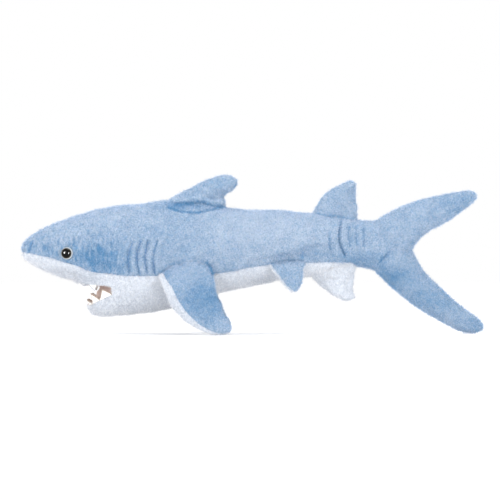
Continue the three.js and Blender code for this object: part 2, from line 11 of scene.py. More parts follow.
import bpy
import numpy as np
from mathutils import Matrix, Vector

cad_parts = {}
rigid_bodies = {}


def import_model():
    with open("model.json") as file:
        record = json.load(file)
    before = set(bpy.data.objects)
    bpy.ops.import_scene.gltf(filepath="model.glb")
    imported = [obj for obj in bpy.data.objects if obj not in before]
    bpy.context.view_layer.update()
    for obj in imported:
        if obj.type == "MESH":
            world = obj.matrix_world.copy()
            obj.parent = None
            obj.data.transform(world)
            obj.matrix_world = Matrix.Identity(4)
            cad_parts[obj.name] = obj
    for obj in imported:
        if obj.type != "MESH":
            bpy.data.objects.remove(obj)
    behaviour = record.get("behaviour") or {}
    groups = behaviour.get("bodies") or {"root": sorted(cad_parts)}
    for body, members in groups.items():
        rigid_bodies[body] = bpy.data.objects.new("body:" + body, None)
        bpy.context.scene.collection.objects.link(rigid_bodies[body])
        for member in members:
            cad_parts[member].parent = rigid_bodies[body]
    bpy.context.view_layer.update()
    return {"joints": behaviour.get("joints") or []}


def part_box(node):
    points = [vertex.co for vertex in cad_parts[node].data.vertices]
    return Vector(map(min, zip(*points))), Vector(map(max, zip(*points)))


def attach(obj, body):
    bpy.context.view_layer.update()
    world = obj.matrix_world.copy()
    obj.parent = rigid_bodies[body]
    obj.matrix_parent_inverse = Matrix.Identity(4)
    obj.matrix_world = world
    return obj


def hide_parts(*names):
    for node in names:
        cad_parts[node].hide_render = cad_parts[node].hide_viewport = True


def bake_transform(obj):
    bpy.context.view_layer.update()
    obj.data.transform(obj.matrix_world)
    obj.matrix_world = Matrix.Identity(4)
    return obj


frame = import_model()
MM = 0.001


def joint_place(body):
    """Where the joint that moves a body stands, in metres."""
    return next(joint for joint in frame["joints"] if joint["child"] == body)["pos_m"]


NOSE_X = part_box("side_panel_left")[0].x / MM
JAW_HINGE_X, _, JAW_HINGE_Z = (v / MM for v in joint_place("jaw"))

# ---- Outlines of the body, (x, z) in side view or (x, value) ----

BODY_TOP = [
    (NOSE_X, 84), (-230, 88.5), (-227, 93.6), (-215, 102.2), (-197, 111.6), (-173, 119.2), (-149, 124.4),
    (-117, 130.2), (-85, 132.2), (-50, 130.4), (-24, 125.6), (-13, 124.8), (15, 122.6), (35, 121.4),
    (62, 120.2), (104, 114.4), (128, 111.6),
]
BODY_BOTTOM = [
    (NOSE_X, 84), (-230.3, 79), (-227, 74.6), (-215, 67.3), (-193, 58.2), (-176, 51.5), (-169, 42),
    (-165, 30), (-160.5, 21), (-146, 18.6), (-113, 21.6), (-88, 25), (-60, 33.5), (-36, 41), (-13, 46.6),
    (27, 54.4), (60, 59.8), (104, 67.6), (128, 67),
]
BODY_WIDEST = [(NOSE_X, 84), (-200, 82), (-150, 78), (-100, 77), (-50, 80), (0, 84), (108, 90.5), (128, 90)]
BODY_HALF_WIDTH = [
    (NOSE_X, 1), (-230, 6.5), (-227, 10.5), (-215, 17), (-197, 24), (-173, 29.5), (-149, 33.5),
    (-117, 36), (-70, 37.5), (-36, 37.5), (0, 35), (40, 30.5), (75, 25.5), (108, 19), (128, 16.5),
]
SIDE_SEAM = [
    (-245, 83), (-231, 82), (-208, 77), (-195, 73.4), (-173, 67.5), (-157, 61.5), (-141, 60),
    (-125, 58.3), (-96, 58), (-39, 60), (-3, 65.5), (50, 71), (96, 71.5), (101.5, 69.5), (105.5, 61),
    (112, 10), (120, -60),
]

# The tail's two lobes: pairs of (x, z) on their leading and trailing edges, root to tip.
UPPER_LOBE = {
    "lead": [(100, 113.6), (117, 111.4), (132, 118.6), (147, 127), (165, 133.5), (188, 138.7), (205, 141.8),
             (217, 143.8), (222, 142)],
    "trail": [(100, 70), (125, 64), (147, 67), (163, 91), (176, 102.6), (192, 110.6), (205.4, 120.2),
              (218, 129.6), (224.6, 137)],
    "half": [19, 17.5, 16, 14.5, 13, 11.5, 10, 7.5, 4],
}
LOWER_LOBE = {
    "lead": [(100, 69), (117, 67), (127, 58), (140, 45), (158, 31.2), (177, 18.8), (196, 8.4), (210, 2),
             (221, 0.4), (229.6, 3)],
    "trail": [(100, 113.6), (122, 111), (152, 92), (161, 78.5), (170, 64.4), (184.6, 49.2), (198.8, 34.8),
              (213, 24.2), (225, 16), (231.4, 8.4)],
    "half": [19, 18, 16.5, 15, 14, 13, 11.5, 9.5, 7, 4],
}

# The mouth.
UPPER_LIP = [(-200, 54), (-174, 51.6), (-166, 49.3), (-156, 48.2), (JAW_HINGE_X, 46.6)]
LIP_FRONT = (-172, 27)
MOUTH_CORNER = (-140, 27)  # x and half width of the mouth's corners
MOUTH_FRONT_X = -178
MOUTH_BACK_X = -156  # where the lining folds on the middle line
MOUTH_ROOF_Z = 64
MOUTH_LEVEL = [(-245, 49), (-168, 47), (-139, 45.8), (-125, 45.8)]  # between snout panel and belly panel
SNOUT_SEAM_X = -126
LOWER_LIP_CUT = 0.2  # how far below the lower lip's line the mouth is cut
LIP_SEARCH_X = -190  # ahead of where either lip starts
LINING_DEPTH = 1.5  # how far inside the lips the felt lining starts
ROOF_SHARE = 2.2  # and how many times deeper it starts above the lower lip
POCKET_HALF_WIDTH = [(-168.5, 7), (-165, 12), (-160, 15), (-156, 14), (-153, 10)]
POCKET_HEIGHT = [(-168.5, 4), (-164, 7), (-160, 8), (-156, 6), (-153, 3)]

VALLEY = -0.8  # height of a strip of teeth between its teeth
# Teeth from the front to the corner: (x of the tooth's rear end, height, where its tip stands, 0 to 1).
LOWER_TEETH = [(-160, 4.2, 0.5), (-152.9, 7.6, 0.3), (-140.5, 6.9, 0.5)]
UPPER_TEETH = [(-173, VALLEY, 0.5), (-164, 2.4, 0.5), (-155.5, 5, 0.85), (-149, VALLEY, 0.5)]

# The eyes.
EYE = (-184.7, 80.7)
EYE_RADIUS = 6
IRIS_RADIUS = 5.3
PUPIL_RADIUS = 4.3
BUTTON_OUTLINE = [(4.8, -1.6), (5.6, -1.2), (EYE_RADIUS, -0.4)]  # (radius, height) below the dome
DOME_BASE = 0.4
DOME_HEIGHT = 4.1
DOME_ROUNDING = 0.9
DOME_POLE = 0.02  # radius of the last ring, at the top
DOME_RINGS = 22
DOME_SIDES = 64

# ---- Seams, folds and grooves in side view ----

GILLS = [
    [(-119, 93.4), (-123.6, 77), (-122.3, 59.8)],
    [(-111, 94.4), (-115.2, 77.4), (-112.2, 59.6)],
    [(-103.3, 94.4), (-107, 77.2), (-104.7, 59.4)],
    [(-94.6, 94.4), (-98.8, 77.2), (-97.4, 59.4)],
]
GILL_DEPTH = 1.6
RIB_OFFSET = 4
GILL_RIBS = [[(x + RIB_OFFSET, z) for x, z in arc] for arc in GILLS]
NOSTRIL = [(-218.9, 94), (-221.5, 88.5), (-223.2, 82.8)]
NOSTRIL_DEPTH = 1.5
DORSAL_SEAM = [
    (-86, 127), (-82.8, 125.3), (-74, 122.6), (-62, 121.2), (-53, 121.2), (-36.4, 124.8), (-27, 127),
]
DORSAL_FOLD = [
    (-80, 128.5), (-66, 130.2), (-59.6, 131.3), (-53, 132), (-47.3, 130.6), (-40.8, 128.4), (-28.4, 127.7),
]
SECOND_SEAM = [(61.5, 121), (72.5, 118.2), (82.7, 117.8), (89, 116.2), (103, 115)]
PECTORAL_SEAM = [(-96, 58), (-88, 64), (-80, 69.5), (-68, 73.5), (-58, 76), (-52, 75), (-47.5, 72)]
PECTORAL_CREASE = [(-47.5, 72), (-44.5, 69.5), (-42.2, 66.5), (-40.9, 63), (-40, 59.5)]
PELVIC_SEAM = [(14.5, 69.5), (27, 73), (39, 74.4), (50, 74)]
FLANK_FOLD = [(-12, 72.5), (10, 76.3), (30, 79.8), (43, 82.5), (52, 87), (66, 89.6), (87, 90.5)]
TAIL_CREASE = [(88.5, 115.5), (86, 104), (85.6, 95.5), (88, 86.5), (92.5, 76)]
TAIL_PLEATS = [
    [(77, 104), (76, 92), (77, 82)],
    [(95.5, 108), (95, 97), (97, 86)],
    [(103, 109), (102.5, 98), (104, 88)],
    [(111, 108), (110, 97), (111, 87)],
    [(50.5, 83), (49, 79), (49.5, 75)],
]
LOBE_CREASE = [(137, 84), (131.5, 77.5), (125, 71)]

# Relief across a line, as rounded bumps: (height, distance of its crest from the line, width).
SEAM_RELIEF = [(-0.8, 0, 1.3), (0.35, 4.5, 3), (0.3, -4.5, 3)]
BACK_SEAM_RELIEF = [(-0.9, 0, 1.4)]
FIN_SEAM_RELIEF = [(-0.9, 0, 1.5)]
FIN_EDGE_RELIEF = [(-0.55, 0, 1.6)]
GILL_RELIEF = [(-GILL_DEPTH, 0, 1.25), (0.55, RIB_OFFSET, 2)]
SOCKET_RELIEF = [(-1.7, 0, 6.6), (0.5, 10, 3)]
CREASE_AHEAD = [(-2.6, 0, 1.9), (1.5, 4.5, 4)]
CREASE_BEHIND = [(-2.6, 0, 1.9), (0.4, 5, 4)]
OVER_DORSAL_FOLD = [(1.8, 4, 3.5), (-3, 0, 1.4)]
UNDER_DORSAL_FOLD = [(-0.3, 3, 3), (-3, 0, 1.4)]
OVER_FLANK_FOLD = [(0.9, 4, 4)]
FLANK_FOLD_STEP = 1.5  # how far the skin steps back under the fold
FLANK_FOLD_START = (-14, 6)  # x where the fold starts and where it is full
FLANK_FOLD_END = (90, 80)
# Grooves of the body: (line, relief, share of the line where it starts, share where it ends).
GROOVES = [
    *[(arc, GILL_RELIEF, 0.08, 0.92) for arc in GILLS],
    (NOSTRIL, [(-NOSTRIL_DEPTH, 0, 1.25)], 0.1, 0.9),
    *[(pleat, [(-0.95, 0, 2)], 0.3, 0.7) for pleat in TAIL_PLEATS],
    (LOBE_CREASE, [(-1.3, 0, 1.3)], 0.3, 0.8),
]
# Grooves of the fins: (line, relief).
FIN_GROOVES = [
    (PECTORAL_CREASE, [(-2.2, 0, 1.3)]),
    (PECTORAL_SEAM, [(-0.7, 0, 1.3)]),
    (PELVIC_SEAM, [(-0.6, 0, 1.3)]),
]
UPPER_BACK_Z = 110  # the fins' seams on the back lie above this
BODY_LUMPS = (0.75, 0.3)  # heights of the large and the small lumps
FIN_LUMPS = (0.35, 0.4)
CALM_NOSE = 30  # how far behind the nose's tip the lumps are full
CALM_TAIL_X = (95, 130)  # where the lumps get lower towards the tail
CALM_TAIL = 0.55  # and by what share
PILE_RELIEF = (0.16, 0.12)  # heights of the pile's clumps and of its tufts
PILE_MOTTLE = (0.07, 0.1)  # and how much they change the tone

# ---- Tone: where the pile is lighter (+) or deeper (-) in colour, much of it painted shade and painted light ----

BLUE_LEVEL = 0.64
WHITE_LEVEL = 0.6
TONE_RANGE = (-0.3, 1.2)
# Spots of painted shade under the dorsal fold, the flank fold, at the pectoral fin's root and tip and on the
# tail's lower parts, and of painted light on the back and the head's top, among spots of the pile's own
# tone.
BLUE_TONE_AND_SHADING_SPOTS = [  # x, z, reach in x, reach in z, change
    (-158, 79, 26, 13, -0.58), (-139, 66, 16, 7, -0.25), (-205, 84, 18, 7, -0.2), (-150, 118, 50, 12, 0.1),
    (-112, 80, 26, 20, -0.1), (0, 104, 60, 24, 0.2), (-70, 98, 28, 18, -0.1), (45, 105, 60, 14, 0.1),
    (58, 78, 40, 6, -0.1), (2, 74, 16, 6, 0.2), (110, 74, 22, 7, -0.3), (138, 57, 20, 11, -0.5),
    (175, 35, 40, 14, -0.28), (37, 56, 14, 10, -0.12), (222, 10, 14, 10, -0.18), (205, 132, 24, 9, -0.22),
    (150, 105, 26, 20, -0.02), (-45, 35, 26, 20, -0.5), (-68, 62, 20, 8, 0.02), (-90, 58, 8, 7, -0.3),
    (-45, 150, 26, 8, -0.14), (-74, 127.5, 14, 4, -0.5), (-56, 127, 18, 4, -0.08), (-48, 130, 18, 3, -0.2),
    (-170, 100, 40, 10, 0.04),
]
# Spots of painted shade under the upper lip and the snout, under the pectoral fin and ahead of the pelvic
# fin, and of painted light between the pelvic and anal fins, among spots of the pile's own tone.
WHITE_TONE_AND_SHADING_SPOTS = [
    (-163, 56, 14, 8, -0.35), (-195, 62, 20, 8, -0.2), (-123, 29, 16, 10, -0.12), (-5, 48, 24, 12, -0.03),
    (-55, 42, 18, 10, -0.15), (60, 64, 30, 8, 0.12), (8, 56, 16, 8, -0.2), (-72, 30, 20, 22, -0.18),
]
# Painted shade along folds, grooves and seams, darker than the blue around them, and a painted highlight
# along the gill ribs: (line, how much darker, width). Under 0 is lighter.
CREASE_SHADE_AND_HIGHLIGHT = [
    *[(arc, 0.6, 0.8) for arc in GILLS],
    *[(rib, -0.16, 1.9) for rib in GILL_RIBS],
    (NOSTRIL, 1.1, 1.0),
    (TAIL_CREASE, 0.55, 1.2),
    (DORSAL_FOLD, 0.7, 1.4),
    (DORSAL_SEAM, 1.1, 1.0),
    (FLANK_FOLD, 0.3, 0.6),
    (SECOND_SEAM, 0.55, 0.9),
    (LOBE_CREASE, 0.4, 1),
    (PECTORAL_CREASE, 1.1, 1.1),
    (PECTORAL_SEAM, 0.2, 1.1),
    (PELVIC_SEAM, 0.35, 0.9),
    *[(pleat, 0.36, 1.3) for pleat in TAIL_PLEATS],
]
# Where streaks begin and where they are full: on the head, low on the head, and under the chin.
HEAD_X = (-105, -145)
LOW_HEAD_Z = (108, 88)
CHIN_X = (-95, -125)
CHIN_Z = (50, 35)
# How strong the streaks are.
BACK_STREAKS = 0.65
HEAD_STREAKS = 1.1
LOW_HEAD_STREAKS = 0.8  # more of them low on the head
WHITE_STREAKS = 0.42
CHIN_STREAKS = 1.0  # more of them under the chin
# How far tufts are drawn out, as a scale on the place: up and down on head and white, less on the back.
COMBED_DOWN = (1, 1, 0.25)
COMBED_BACK = (0.7, 1, 0.7)

# ---- Fins ----

# "pairs" are (x, z) of the leading and (x, z) of the trailing edge, and "half" is half the thickness, both
# from base to tip. "base" shapes the line where the fin is sewn on. "blend" says where its bend starts and
# ends, in metres from the hinge. "hinge" is (half width, z) of the line that the fin is splayed about.
MIDDLE_FINS = {
    "dorsal": {
        "pairs": [
            (-82.5, 133.5, -28, 129.5), (-77.5, 137.4, -28.8, 133), (-70, 141.9, -28.6, 136.5),
            (-61, 146.9, -27, 139.8), (-51, 152.2, -23.5, 142.6), (-42, 155.7, -20, 144.8),
            (-34, 157.9, -17.3, 147.6), (-27, 158.4, -15.8, 151), (-21.5, 157.5, -16.2, 154),
        ],
        "half": [8, 10, 10, 9.5, 9, 8, 7, 5, 2.5],
        "base": {"front": -84.5, "back": -27, "drop": 11},
        "up": 1, "slot": "blue_plush",
    },
    "second_dorsal": {
        "pairs": [
            (61, 122.4, 102.6, 116), (63.8, 129.8, 103.6, 122), (68, 136.2, 103.8, 128),
            (74.4, 142, 103, 134), (82, 146.4, 102.6, 139.5), (89.4, 149.8, 102.6, 144),
            (95.2, 152.2, 102.4, 147.6), (98.5, 152.8, 101.8, 150.6),
        ],
        "half": [6, 7.5, 7.5, 7, 6.5, 6, 4.5, 2],
        "base": {"front": 59, "back": 105, "drop": 4.5},
        "up": 1, "slot": "blue_plush",
    },
    "anal": {
        "pairs": [
            (60, 57.5, 103, 65.5), (62.3, 53.6, 102, 60), (65.6, 49.8, 101.6, 56), (71, 45, 100.8, 51),
            (77.6, 39.6, 100.6, 47), (85, 35.7, 101.2, 42.5), (90.5, 34.4, 102.4, 38.6),
            (97, 34, 102.3, 36.2),
        ],
        "half": [6, 7, 7, 6.5, 6, 5.5, 4, 2],
        "base": {"front": 57, "back": 103.5, "drop": 5},
        "up": -1, "slot": "white_plush",
    },
}
PAIRED_FINS = {
    "pectoral": {
        "pairs": [
            (-91.5, 60, -40.5, 62), (-90.5, 52, -39, 57), (-86.7, 42, -37.8, 49.5), (-80.5, 29, -36.2, 40),
            (-71.5, 18.5, -33.2, 31), (-61, 10.2, -29.5, 22.5), (-50, 4.8, -25.8, 15),
            (-40, 1.9, -22.6, 8.5), (-31, 1, -22.3, 4),
        ],
        "half": [3, 6, 8.5, 9, 8.5, 8, 7, 5.5, 3],
        "base": {"front": (-94, 56.5), "back": (-38.5, 60), "arch": 14, "under": 9, "skew": 0.25},
        "splay": math.radians(26), "hinge": (42, 66), "blend": (-0.004, 0.014),
        "white_wrap": [0.04, 0.09, 0.15, 0.165, 0.15, 0.12, 0.09, 0.07],
    },
    "pelvic": {
        "pairs": [
            (17.5, 67, 50.2, 69.5), (21.2, 61.8, 49.6, 64), (25.5, 56.6, 49.2, 59), (30, 51.3, 48.8, 54.5),
            (34.2, 46.8, 48, 50.5), (37.8, 44, 46.6, 46.8), (40.5, 43, 44.6, 44.2),
        ],
        "half": [4, 5.5, 5.5, 5, 4.5, 3.5, 2],
        "base": {"front": (16, 68.5), "back": (51.5, 72), "arch": 3, "under": 5, "skew": 0},
        "splay": math.radians(25), "hinge": (30, 70), "blend": (-0.001, 0.009),
        "white_wrap": [0.04, 0.05, 0.05, 0.06, 0.08],
    },
}
TRAIL_WRAP = 0.06  # how far the white comes round the trailing edge, as a share of the way round

# ---- Sizes of meshes and threads ----

BODY_SIDES = 120
BODY_STATIONS = 170
STATION_CROWDING = 1.25  # how much closer the rings stand at the nose
NOSE_GAP = 0.12  # from the nose's tip to the first ring
BODY_ROUNDING = 0.9  # power of the body's oval section
LOBE_RINGS = 90
LOBE_SIDES = 72
MOUTH_SLICES = 49
MOUTH_REACH = 60  # how far the cut of the mouth goes to each side
LIP_STEPS = 16
POCKET_SIDES = 36
POCKET_ROUNDING = 0.6
FIN_RINGS = 76
FIN_AROUND = 128
SKIRT_RINGS = 18
SKIRT_REACH = 14  # how many of a fin's rings the skirt replaces
FIN_ROUNDING = 0.62  # power of a fin's lens-shaped section
MIDDLE_FIN_SUNK = 0.9  # how deep a fin's sewn edge lies in the body's skin
PAIRED_FIN_SUNK = 0.8
MIDDLE_BASE_ROUNDING = 0.8  # powers of the sewn line's oval
PAIRED_BASE_ROUNDING = 0.85
SKIN_VOXEL = 1.25
SKIN_THICKNESS = 1.1
SMOOTHING_ROUNDS = 4
SEAM_GAP = 0.05  # from a seam to the edge of each panel
TOOTH_THICKNESS = 1.7
TOOTH_EDGE = 1.2  # width of the bevelled cut along the teeth
TOOTH_ROWS = 13
TOOTH_STEPS = 241  # along half a lip
THREAD_RADIUS = 0.42
THREAD_RISE = 0.15  # from the bottom of its groove to a thread's middle
THREAD_SPAN = (0.03, 0.97)  # share of its groove's line where a thread starts and ends
THREAD_STEPS = 40
PILE_LENGTH = 0.9
PILE_DENSITY = 1.5  # hairs per square mm

# ---- Studio, in metres ----

FLOOR_SIZE = 6.0  # half its width
CAMERA_PLACE = (-0.003, -4, 0.084)
CAMERA_LENS = 288  # focal length and sensor width in mm
CAMERA_SENSOR = 36
TOY_MIDDLE = (0, 0, 0.08)
EYE_PLACE = (EYE[0] * MM, -0.03, EYE[1] * MM)
# Softboxes: (name, place, what it points at, size, power, whether only gloss shows it).
SOFTBOXES = [
    ("softbox_left", (-1.0, -1.3, 0.5), TOY_MIDDLE, (0.3, 0.36), 9, False),
    ("softbox_right", (0.9, -1.35, 0.5), TOY_MIDDLE, (0.3, 0.36), 8, False),
    ("catchlight_left", (-1.41, -1.21, 0.3), EYE_PLACE, (0.4, 0.4), 130, True),
    ("catchlight_front", (0.11, -2.0, 0.17), EYE_PLACE, (0.4, 0.4), 130, True),
    ("softbox_top", (0, -0.1, 1.5), TOY_MIDDLE, (1.2, 0.8), 7, False),
]


# ---- Curves ----


def profile(points):
    """A smooth value-of-x curve through (x, value) points, without overshoot (monotone cubic)."""
    xs, values = np.array(points, float).T
    slopes = np.diff(values) / np.diff(xs)
    before, after = slopes[:-1], slopes[1:]
    safe = np.where(before * after > 0, before + after, 1)
    tangents = np.concatenate(
        [slopes[:1], np.where(before * after > 0, 2 * before * after / safe, 0), slopes[-1:]]
    )

    def curve(x):
        at = np.clip(x, xs[0], xs[-1])
        i = np.clip(np.searchsorted(xs, at, side="right") - 1, 0, len(xs) - 2)
        width = xs[i + 1] - xs[i]
        t = (at - xs[i]) / width
        rise = t * t * (3 - 2 * t)
        bend = width * t * (1 - t) * ((1 - t) * tangents[i] - t * tangents[i + 1])
        return values[i] * (1 - rise) + values[i + 1] * rise + bend

    return curve


def spread(values):
    """Values at evenly spaced places from 0 to 1, as a smooth curve."""
    return profile([(i / (len(values) - 1), v) for i, v in enumerate(values)])


def spline(points, t):
    """Points at shares t (0 to 1) along a Catmull-Rom curve through points."""
    points = np.array(points, float)
    last = len(points) - 1
    at = np.clip(t, 0, 1) * last
    i = np.clip(at.astype(int), 0, last - 1)
    f = (at - i)[:, None]
    p0, p1 = points[np.maximum(i - 1, 0)], points[i]
    p2, p3 = points[i + 1], points[np.minimum(i + 2, last)]
    return 0.5 * (
        2 * p1 + (p2 - p0) * f + (2 * p0 - 5 * p1 + 4 * p2 - p3) * f**2 + (3 * p1 - p0 - 3 * p2 + p3) * f**3
    )


def smoothstep(low, high, x):
    """0 up to low, 1 from high on, and a smooth rise between them."""
    t = np.clip((x - low) / (high - low), 0, 1)
    return t * t * (3 - 2 * t)


def bell(distance, width):
    """1 at distance 0, falling off over width."""
    return np.exp(-((distance / width) ** 2))


def rounded(wave, power):
    """A sine or cosine made fuller (power under 1), its sign kept."""
    return np.sign(wave) * np.abs(wave) ** power


def circle(count):
    """Cosines and sines of evenly spaced angles."""
    angle = 2 * math.pi * np.arange(count) / count
    return np.cos(angle), np.sin(angle)


def relief(distance, bumps):
    """The height of a row of bumps across a line. A groove is a bump of a height under 0."""
    return sum(height * bell(distance - crest, width) for height, crest, width in bumps)


def path_distance(x, z, points):
    """Distance in side view from each (x, z) to the smooth line through points, and the share along it."""
    t = np.linspace(0, 1, 60)
    line = spline(points, t)
    gap = np.hypot(x[:, None] - line[:, 0], z[:, None] - line[:, 1])
    nearest = gap.argmin(1)
    return gap.min(1), t[nearest]


def fade_ends(share, start, stop):
    """1 along a line, easing to 0 before share start and after share stop."""
    return smoothstep(0, start, share) * smoothstep(1, stop, share)


def line_z(x, points):
    """The height at x of straight lines between (x, z) points."""
    return np.interp(x, *np.transpose(points))


body_top = profile(BODY_TOP)
body_bottom = profile(BODY_BOTTOM)
body_widest = profile(BODY_WIDEST)
body_half_width = profile(BODY_HALF_WIDTH)
side_seam = profile(SIDE_SEAM)
mouth_level = profile(MOUTH_LEVEL)


def body_y(x, z):
    """Half the body's width at a point of its side view."""
    wide = body_widest(x)
    reach = np.where(z > wide, body_top(x) - wide, wide - body_bottom(x))
    height = np.clip((z - wide) / reach, -1, 1)
    return body_half_width(x) * np.sqrt(1 - height**2) ** BODY_ROUNDING


def lip_z(x):
    """The height of the lower lip line at x."""
    slope = (JAW_HINGE_Z - LIP_FRONT[1]) / (JAW_HINGE_X - LIP_FRONT[0])
    return JAW_HINGE_Z + slope * (x - JAW_HINGE_X)


# ---- Mesh tools on (points, triangles) arrays ----


def grid_faces(rows, columns, closed_columns):
    """Triangles over a grid of rows x columns points."""
    j_count = columns if closed_columns else columns - 1
    i, j = np.meshgrid(np.arange(rows - 1), np.arange(j_count), indexing="ij")
    a = (i * columns + j).ravel()
    b = (i * columns + (j + 1) % columns).ravel()
    c, d = b + columns, a + columns
    return np.concatenate([np.stack([a, b, c], 1), np.stack([a, c, d], 1)])


def loft(rings):
    """A closed mesh through rings of points, with a fan over each end ring, its faces pointing out."""
    rings = np.asarray(rings, float)
    count, sides = rings.shape[:2]
    points = np.concatenate([rings.reshape(-1, 3), rings[0].mean(0)[None], rings[-1].mean(0)[None]])
    here = np.arange(sides)
    ahead = (here + 1) % sides
    first, last = count * sides, count * sides + 1
    end = (count - 1) * sides
    fans = [
        np.stack([np.full(sides, first), ahead, here], 1),
        np.stack([np.full(sides, last), end + here, end + ahead], 1),
    ]
    faces = np.concatenate([grid_faces(count, sides, True), *fans])
    corners = points[faces]
    volume = np.einsum("ij,ij->i", corners[:, 0], np.cross(corners[:, 1], corners[:, 2])).sum()
    return points, faces if volume > 0 else faces[:, ::-1]


def face_normals(points, faces):
    """The triangles' normals, each twice as long as its triangle is large."""
    corners = points[faces]
    return np.cross(corners[:, 1] - corners[:, 0], corners[:, 2] - corners[:, 0])


def normals_of(points, faces):
    """Area-weighted normals at the points."""
    per_face = face_normals(points, faces)
    normals = np.zeros_like(points)
    for k in range(3):
        np.add.at(normals, faces[:, k], per_face)
    return normals / np.maximum(np.linalg.norm(normals, axis=1, keepdims=True), 1e-12)


def surface(points, faces):
    """The area of a mesh in square mm."""
    return float(np.linalg.norm(face_normals(points, faces), axis=1).sum() / 2)


def facing(points, faces, direction):
    """The faces, turned over if most of them look away from direction."""
    agreement = (normals_of(points, faces) @ np.array(direction, float)).sum()
    return faces if agreement >= 0 else faces[:, ::-1]


def edges_of(faces):
    """The three edges of every triangle."""
    return np.concatenate([faces[:, [0, 1]], faces[:, [1, 2]], faces[:, [2, 0]]])


def clip(points, faces, field):
    """The part of a mesh where field, one value per point, is positive, cut exactly along field = 0."""
    field = np.where(np.abs(field) < 1e-6, 1e-6, field)
    inside = field > 0
    count = inside[faces].sum(1)
    pieces, edges = [faces[count == 3]], []
    total = len(points)

    def crossing(a, b):
        """Numbers for the new points where the edges from a to b meet the cut."""
        start = total + sum(len(pair) for pair in edges)
        edges.append(np.sort(np.stack([a, b], 1), 1))
        return start + np.arange(len(a))

    for wanted, alone in ((1, True), (2, False)):
        some = faces[count == wanted]
        for k in range(3):
            odd = some[inside[some[:, k]] == alone]
            picked = odd[(inside[odd[:, (k + 1) % 3]] != alone) & (inside[odd[:, (k + 2) % 3]] != alone)]
            a, b, c = picked[:, k], picked[:, (k + 1) % 3], picked[:, (k + 2) % 3]
            ab, ac = crossing(a, b), crossing(a, c)
            if alone:
                pieces.append(np.stack([a, ab, ac], 1))
            else:
                pieces += [np.stack([ab, b, c], 1), np.stack([ab, c, ac], 1)]
    unique, index = np.unique(np.concatenate(edges), axis=0, return_inverse=True)
    low, high = unique.T
    share = (field[low] / (field[low] - field[high]))[:, None]
    places = points[low] * (1 - share) + points[high] * share
    renamed = np.concatenate([np.arange(total), total + index.ravel()])
    faces = renamed[np.concatenate(pieces)]
    used, index = np.unique(faces, return_inverse=True)
    return np.concatenate([points, places])[used], index.reshape(faces.shape)


def shell(points, faces, thickness):
    """A sheet made into a closed shell that is thickness deep, inwards from the given surface. Its faces are
    the given ones, then as many for the inside, then the rim."""
    inner = points - normals_of(points, faces) * thickness
    edges = edges_of(faces)
    _, index, uses = np.unique(np.sort(edges, 1), axis=0, return_inverse=True, return_counts=True)
    a, b = edges[uses[index.ravel()] == 1].T
    below = len(points)
    walls = np.concatenate([np.stack([b, a, a + below], 1), np.stack([b, a + below, b + below], 1)])
    return np.concatenate([points, inner]), np.concatenate([faces, faces[:, ::-1] + below, walls])


def joined(meshes):
    """Several meshes as one."""
    points, faces, start = [], [], 0
    for p, f in meshes:
        points.append(p)
        faces.append(f + start)
        start += len(p)
    return np.concatenate(points), np.concatenate(faces)


def blender_mesh(name, points, faces):
    """A mesh of Blender's from points in mm."""
    mesh = bpy.data.meshes.new(name)
    mesh.vertices.add(len(points))
    mesh.vertices.foreach_set("co", (points * MM).astype(np.float32).ravel())
    mesh.loops.add(faces.size)
    mesh.loops.foreach_set("vertex_index", faces.astype(np.int32).ravel())
    mesh.polygons.add(len(faces))
    mesh.polygons.foreach_set("loop_start", np.arange(0, faces.size, faces.shape[1], dtype=np.int32))
    mesh.update(calc_edges=True)
    mesh.validate()
    return mesh


def link_new(name, data):
    """A new object in the scene."""
    obj = bpy.data.objects.new(name, data)
    bpy.context.scene.collection.objects.link(obj)
    return obj


def add_object(name, points, faces, material, tone=None, sharp_degrees=50):
    """A smooth-shaded object, with its rest place and its tone kept on its points for the materials."""
    mesh = blender_mesh(name, points, faces)
    mesh.polygons.foreach_set("use_smooth", np.ones(len(mesh.polygons), bool))
    mesh.set_sharp_from_angle(angle=math.radians(sharp_degrees))
    rest = mesh.attributes.new("rest", "FLOAT_VECTOR", "POINT")
    rest.data.foreach_set("vector", (points * MM).astype(np.float32).ravel())
    if tone is not None:
        attribute = mesh.attributes.new("tone", "FLOAT", "POINT")
        attribute.data.foreach_set("value", tone.astype(np.float32))
    mesh.materials.append(material)
    return link_new(name, mesh)


def evaluated(obj):
    """The object's mesh with its modifiers, as (points in mm, triangles); the object is removed."""
    graph = bpy.context.evaluated_depsgraph_get()
    mesh = bpy.data.meshes.new_from_object(obj.evaluated_get(graph))
    mesh.calc_loop_triangles()
    points = np.zeros(len(mesh.vertices) * 3, np.float32)
    mesh.vertices.foreach_get("co", points)
    faces = np.zeros(len(mesh.loop_triangles) * 3, np.int32)
    mesh.loop_triangles.foreach_get("vertices", faces)
    bpy.data.objects.remove(obj)
    return points.reshape(-1, 3).astype(float) / MM, faces.reshape(-1, 3)


def temporary(points, faces):
    """An object that is only there to be cut or remeshed."""
    return link_new("temporary", blender_mesh("temporary", points, faces))


def smoothed(points, faces, rounds):
    """Each point moved half way towards the mean of its neighbours, over and over."""
    a, b = np.unique(np.sort(edges_of(faces), 1), axis=0).T
    degree = np.bincount(np.concatenate([a, b]), minlength=len(points))[:, None]
    for _ in range(rounds):
        total = np.zeros_like(points)
        np.add.at(total, a, points[b])
        np.add.at(total, b, points[a])
        points = points + 0.5 * (total / np.maximum(degree, 1) - points)
    return points


# ---- Noise ----


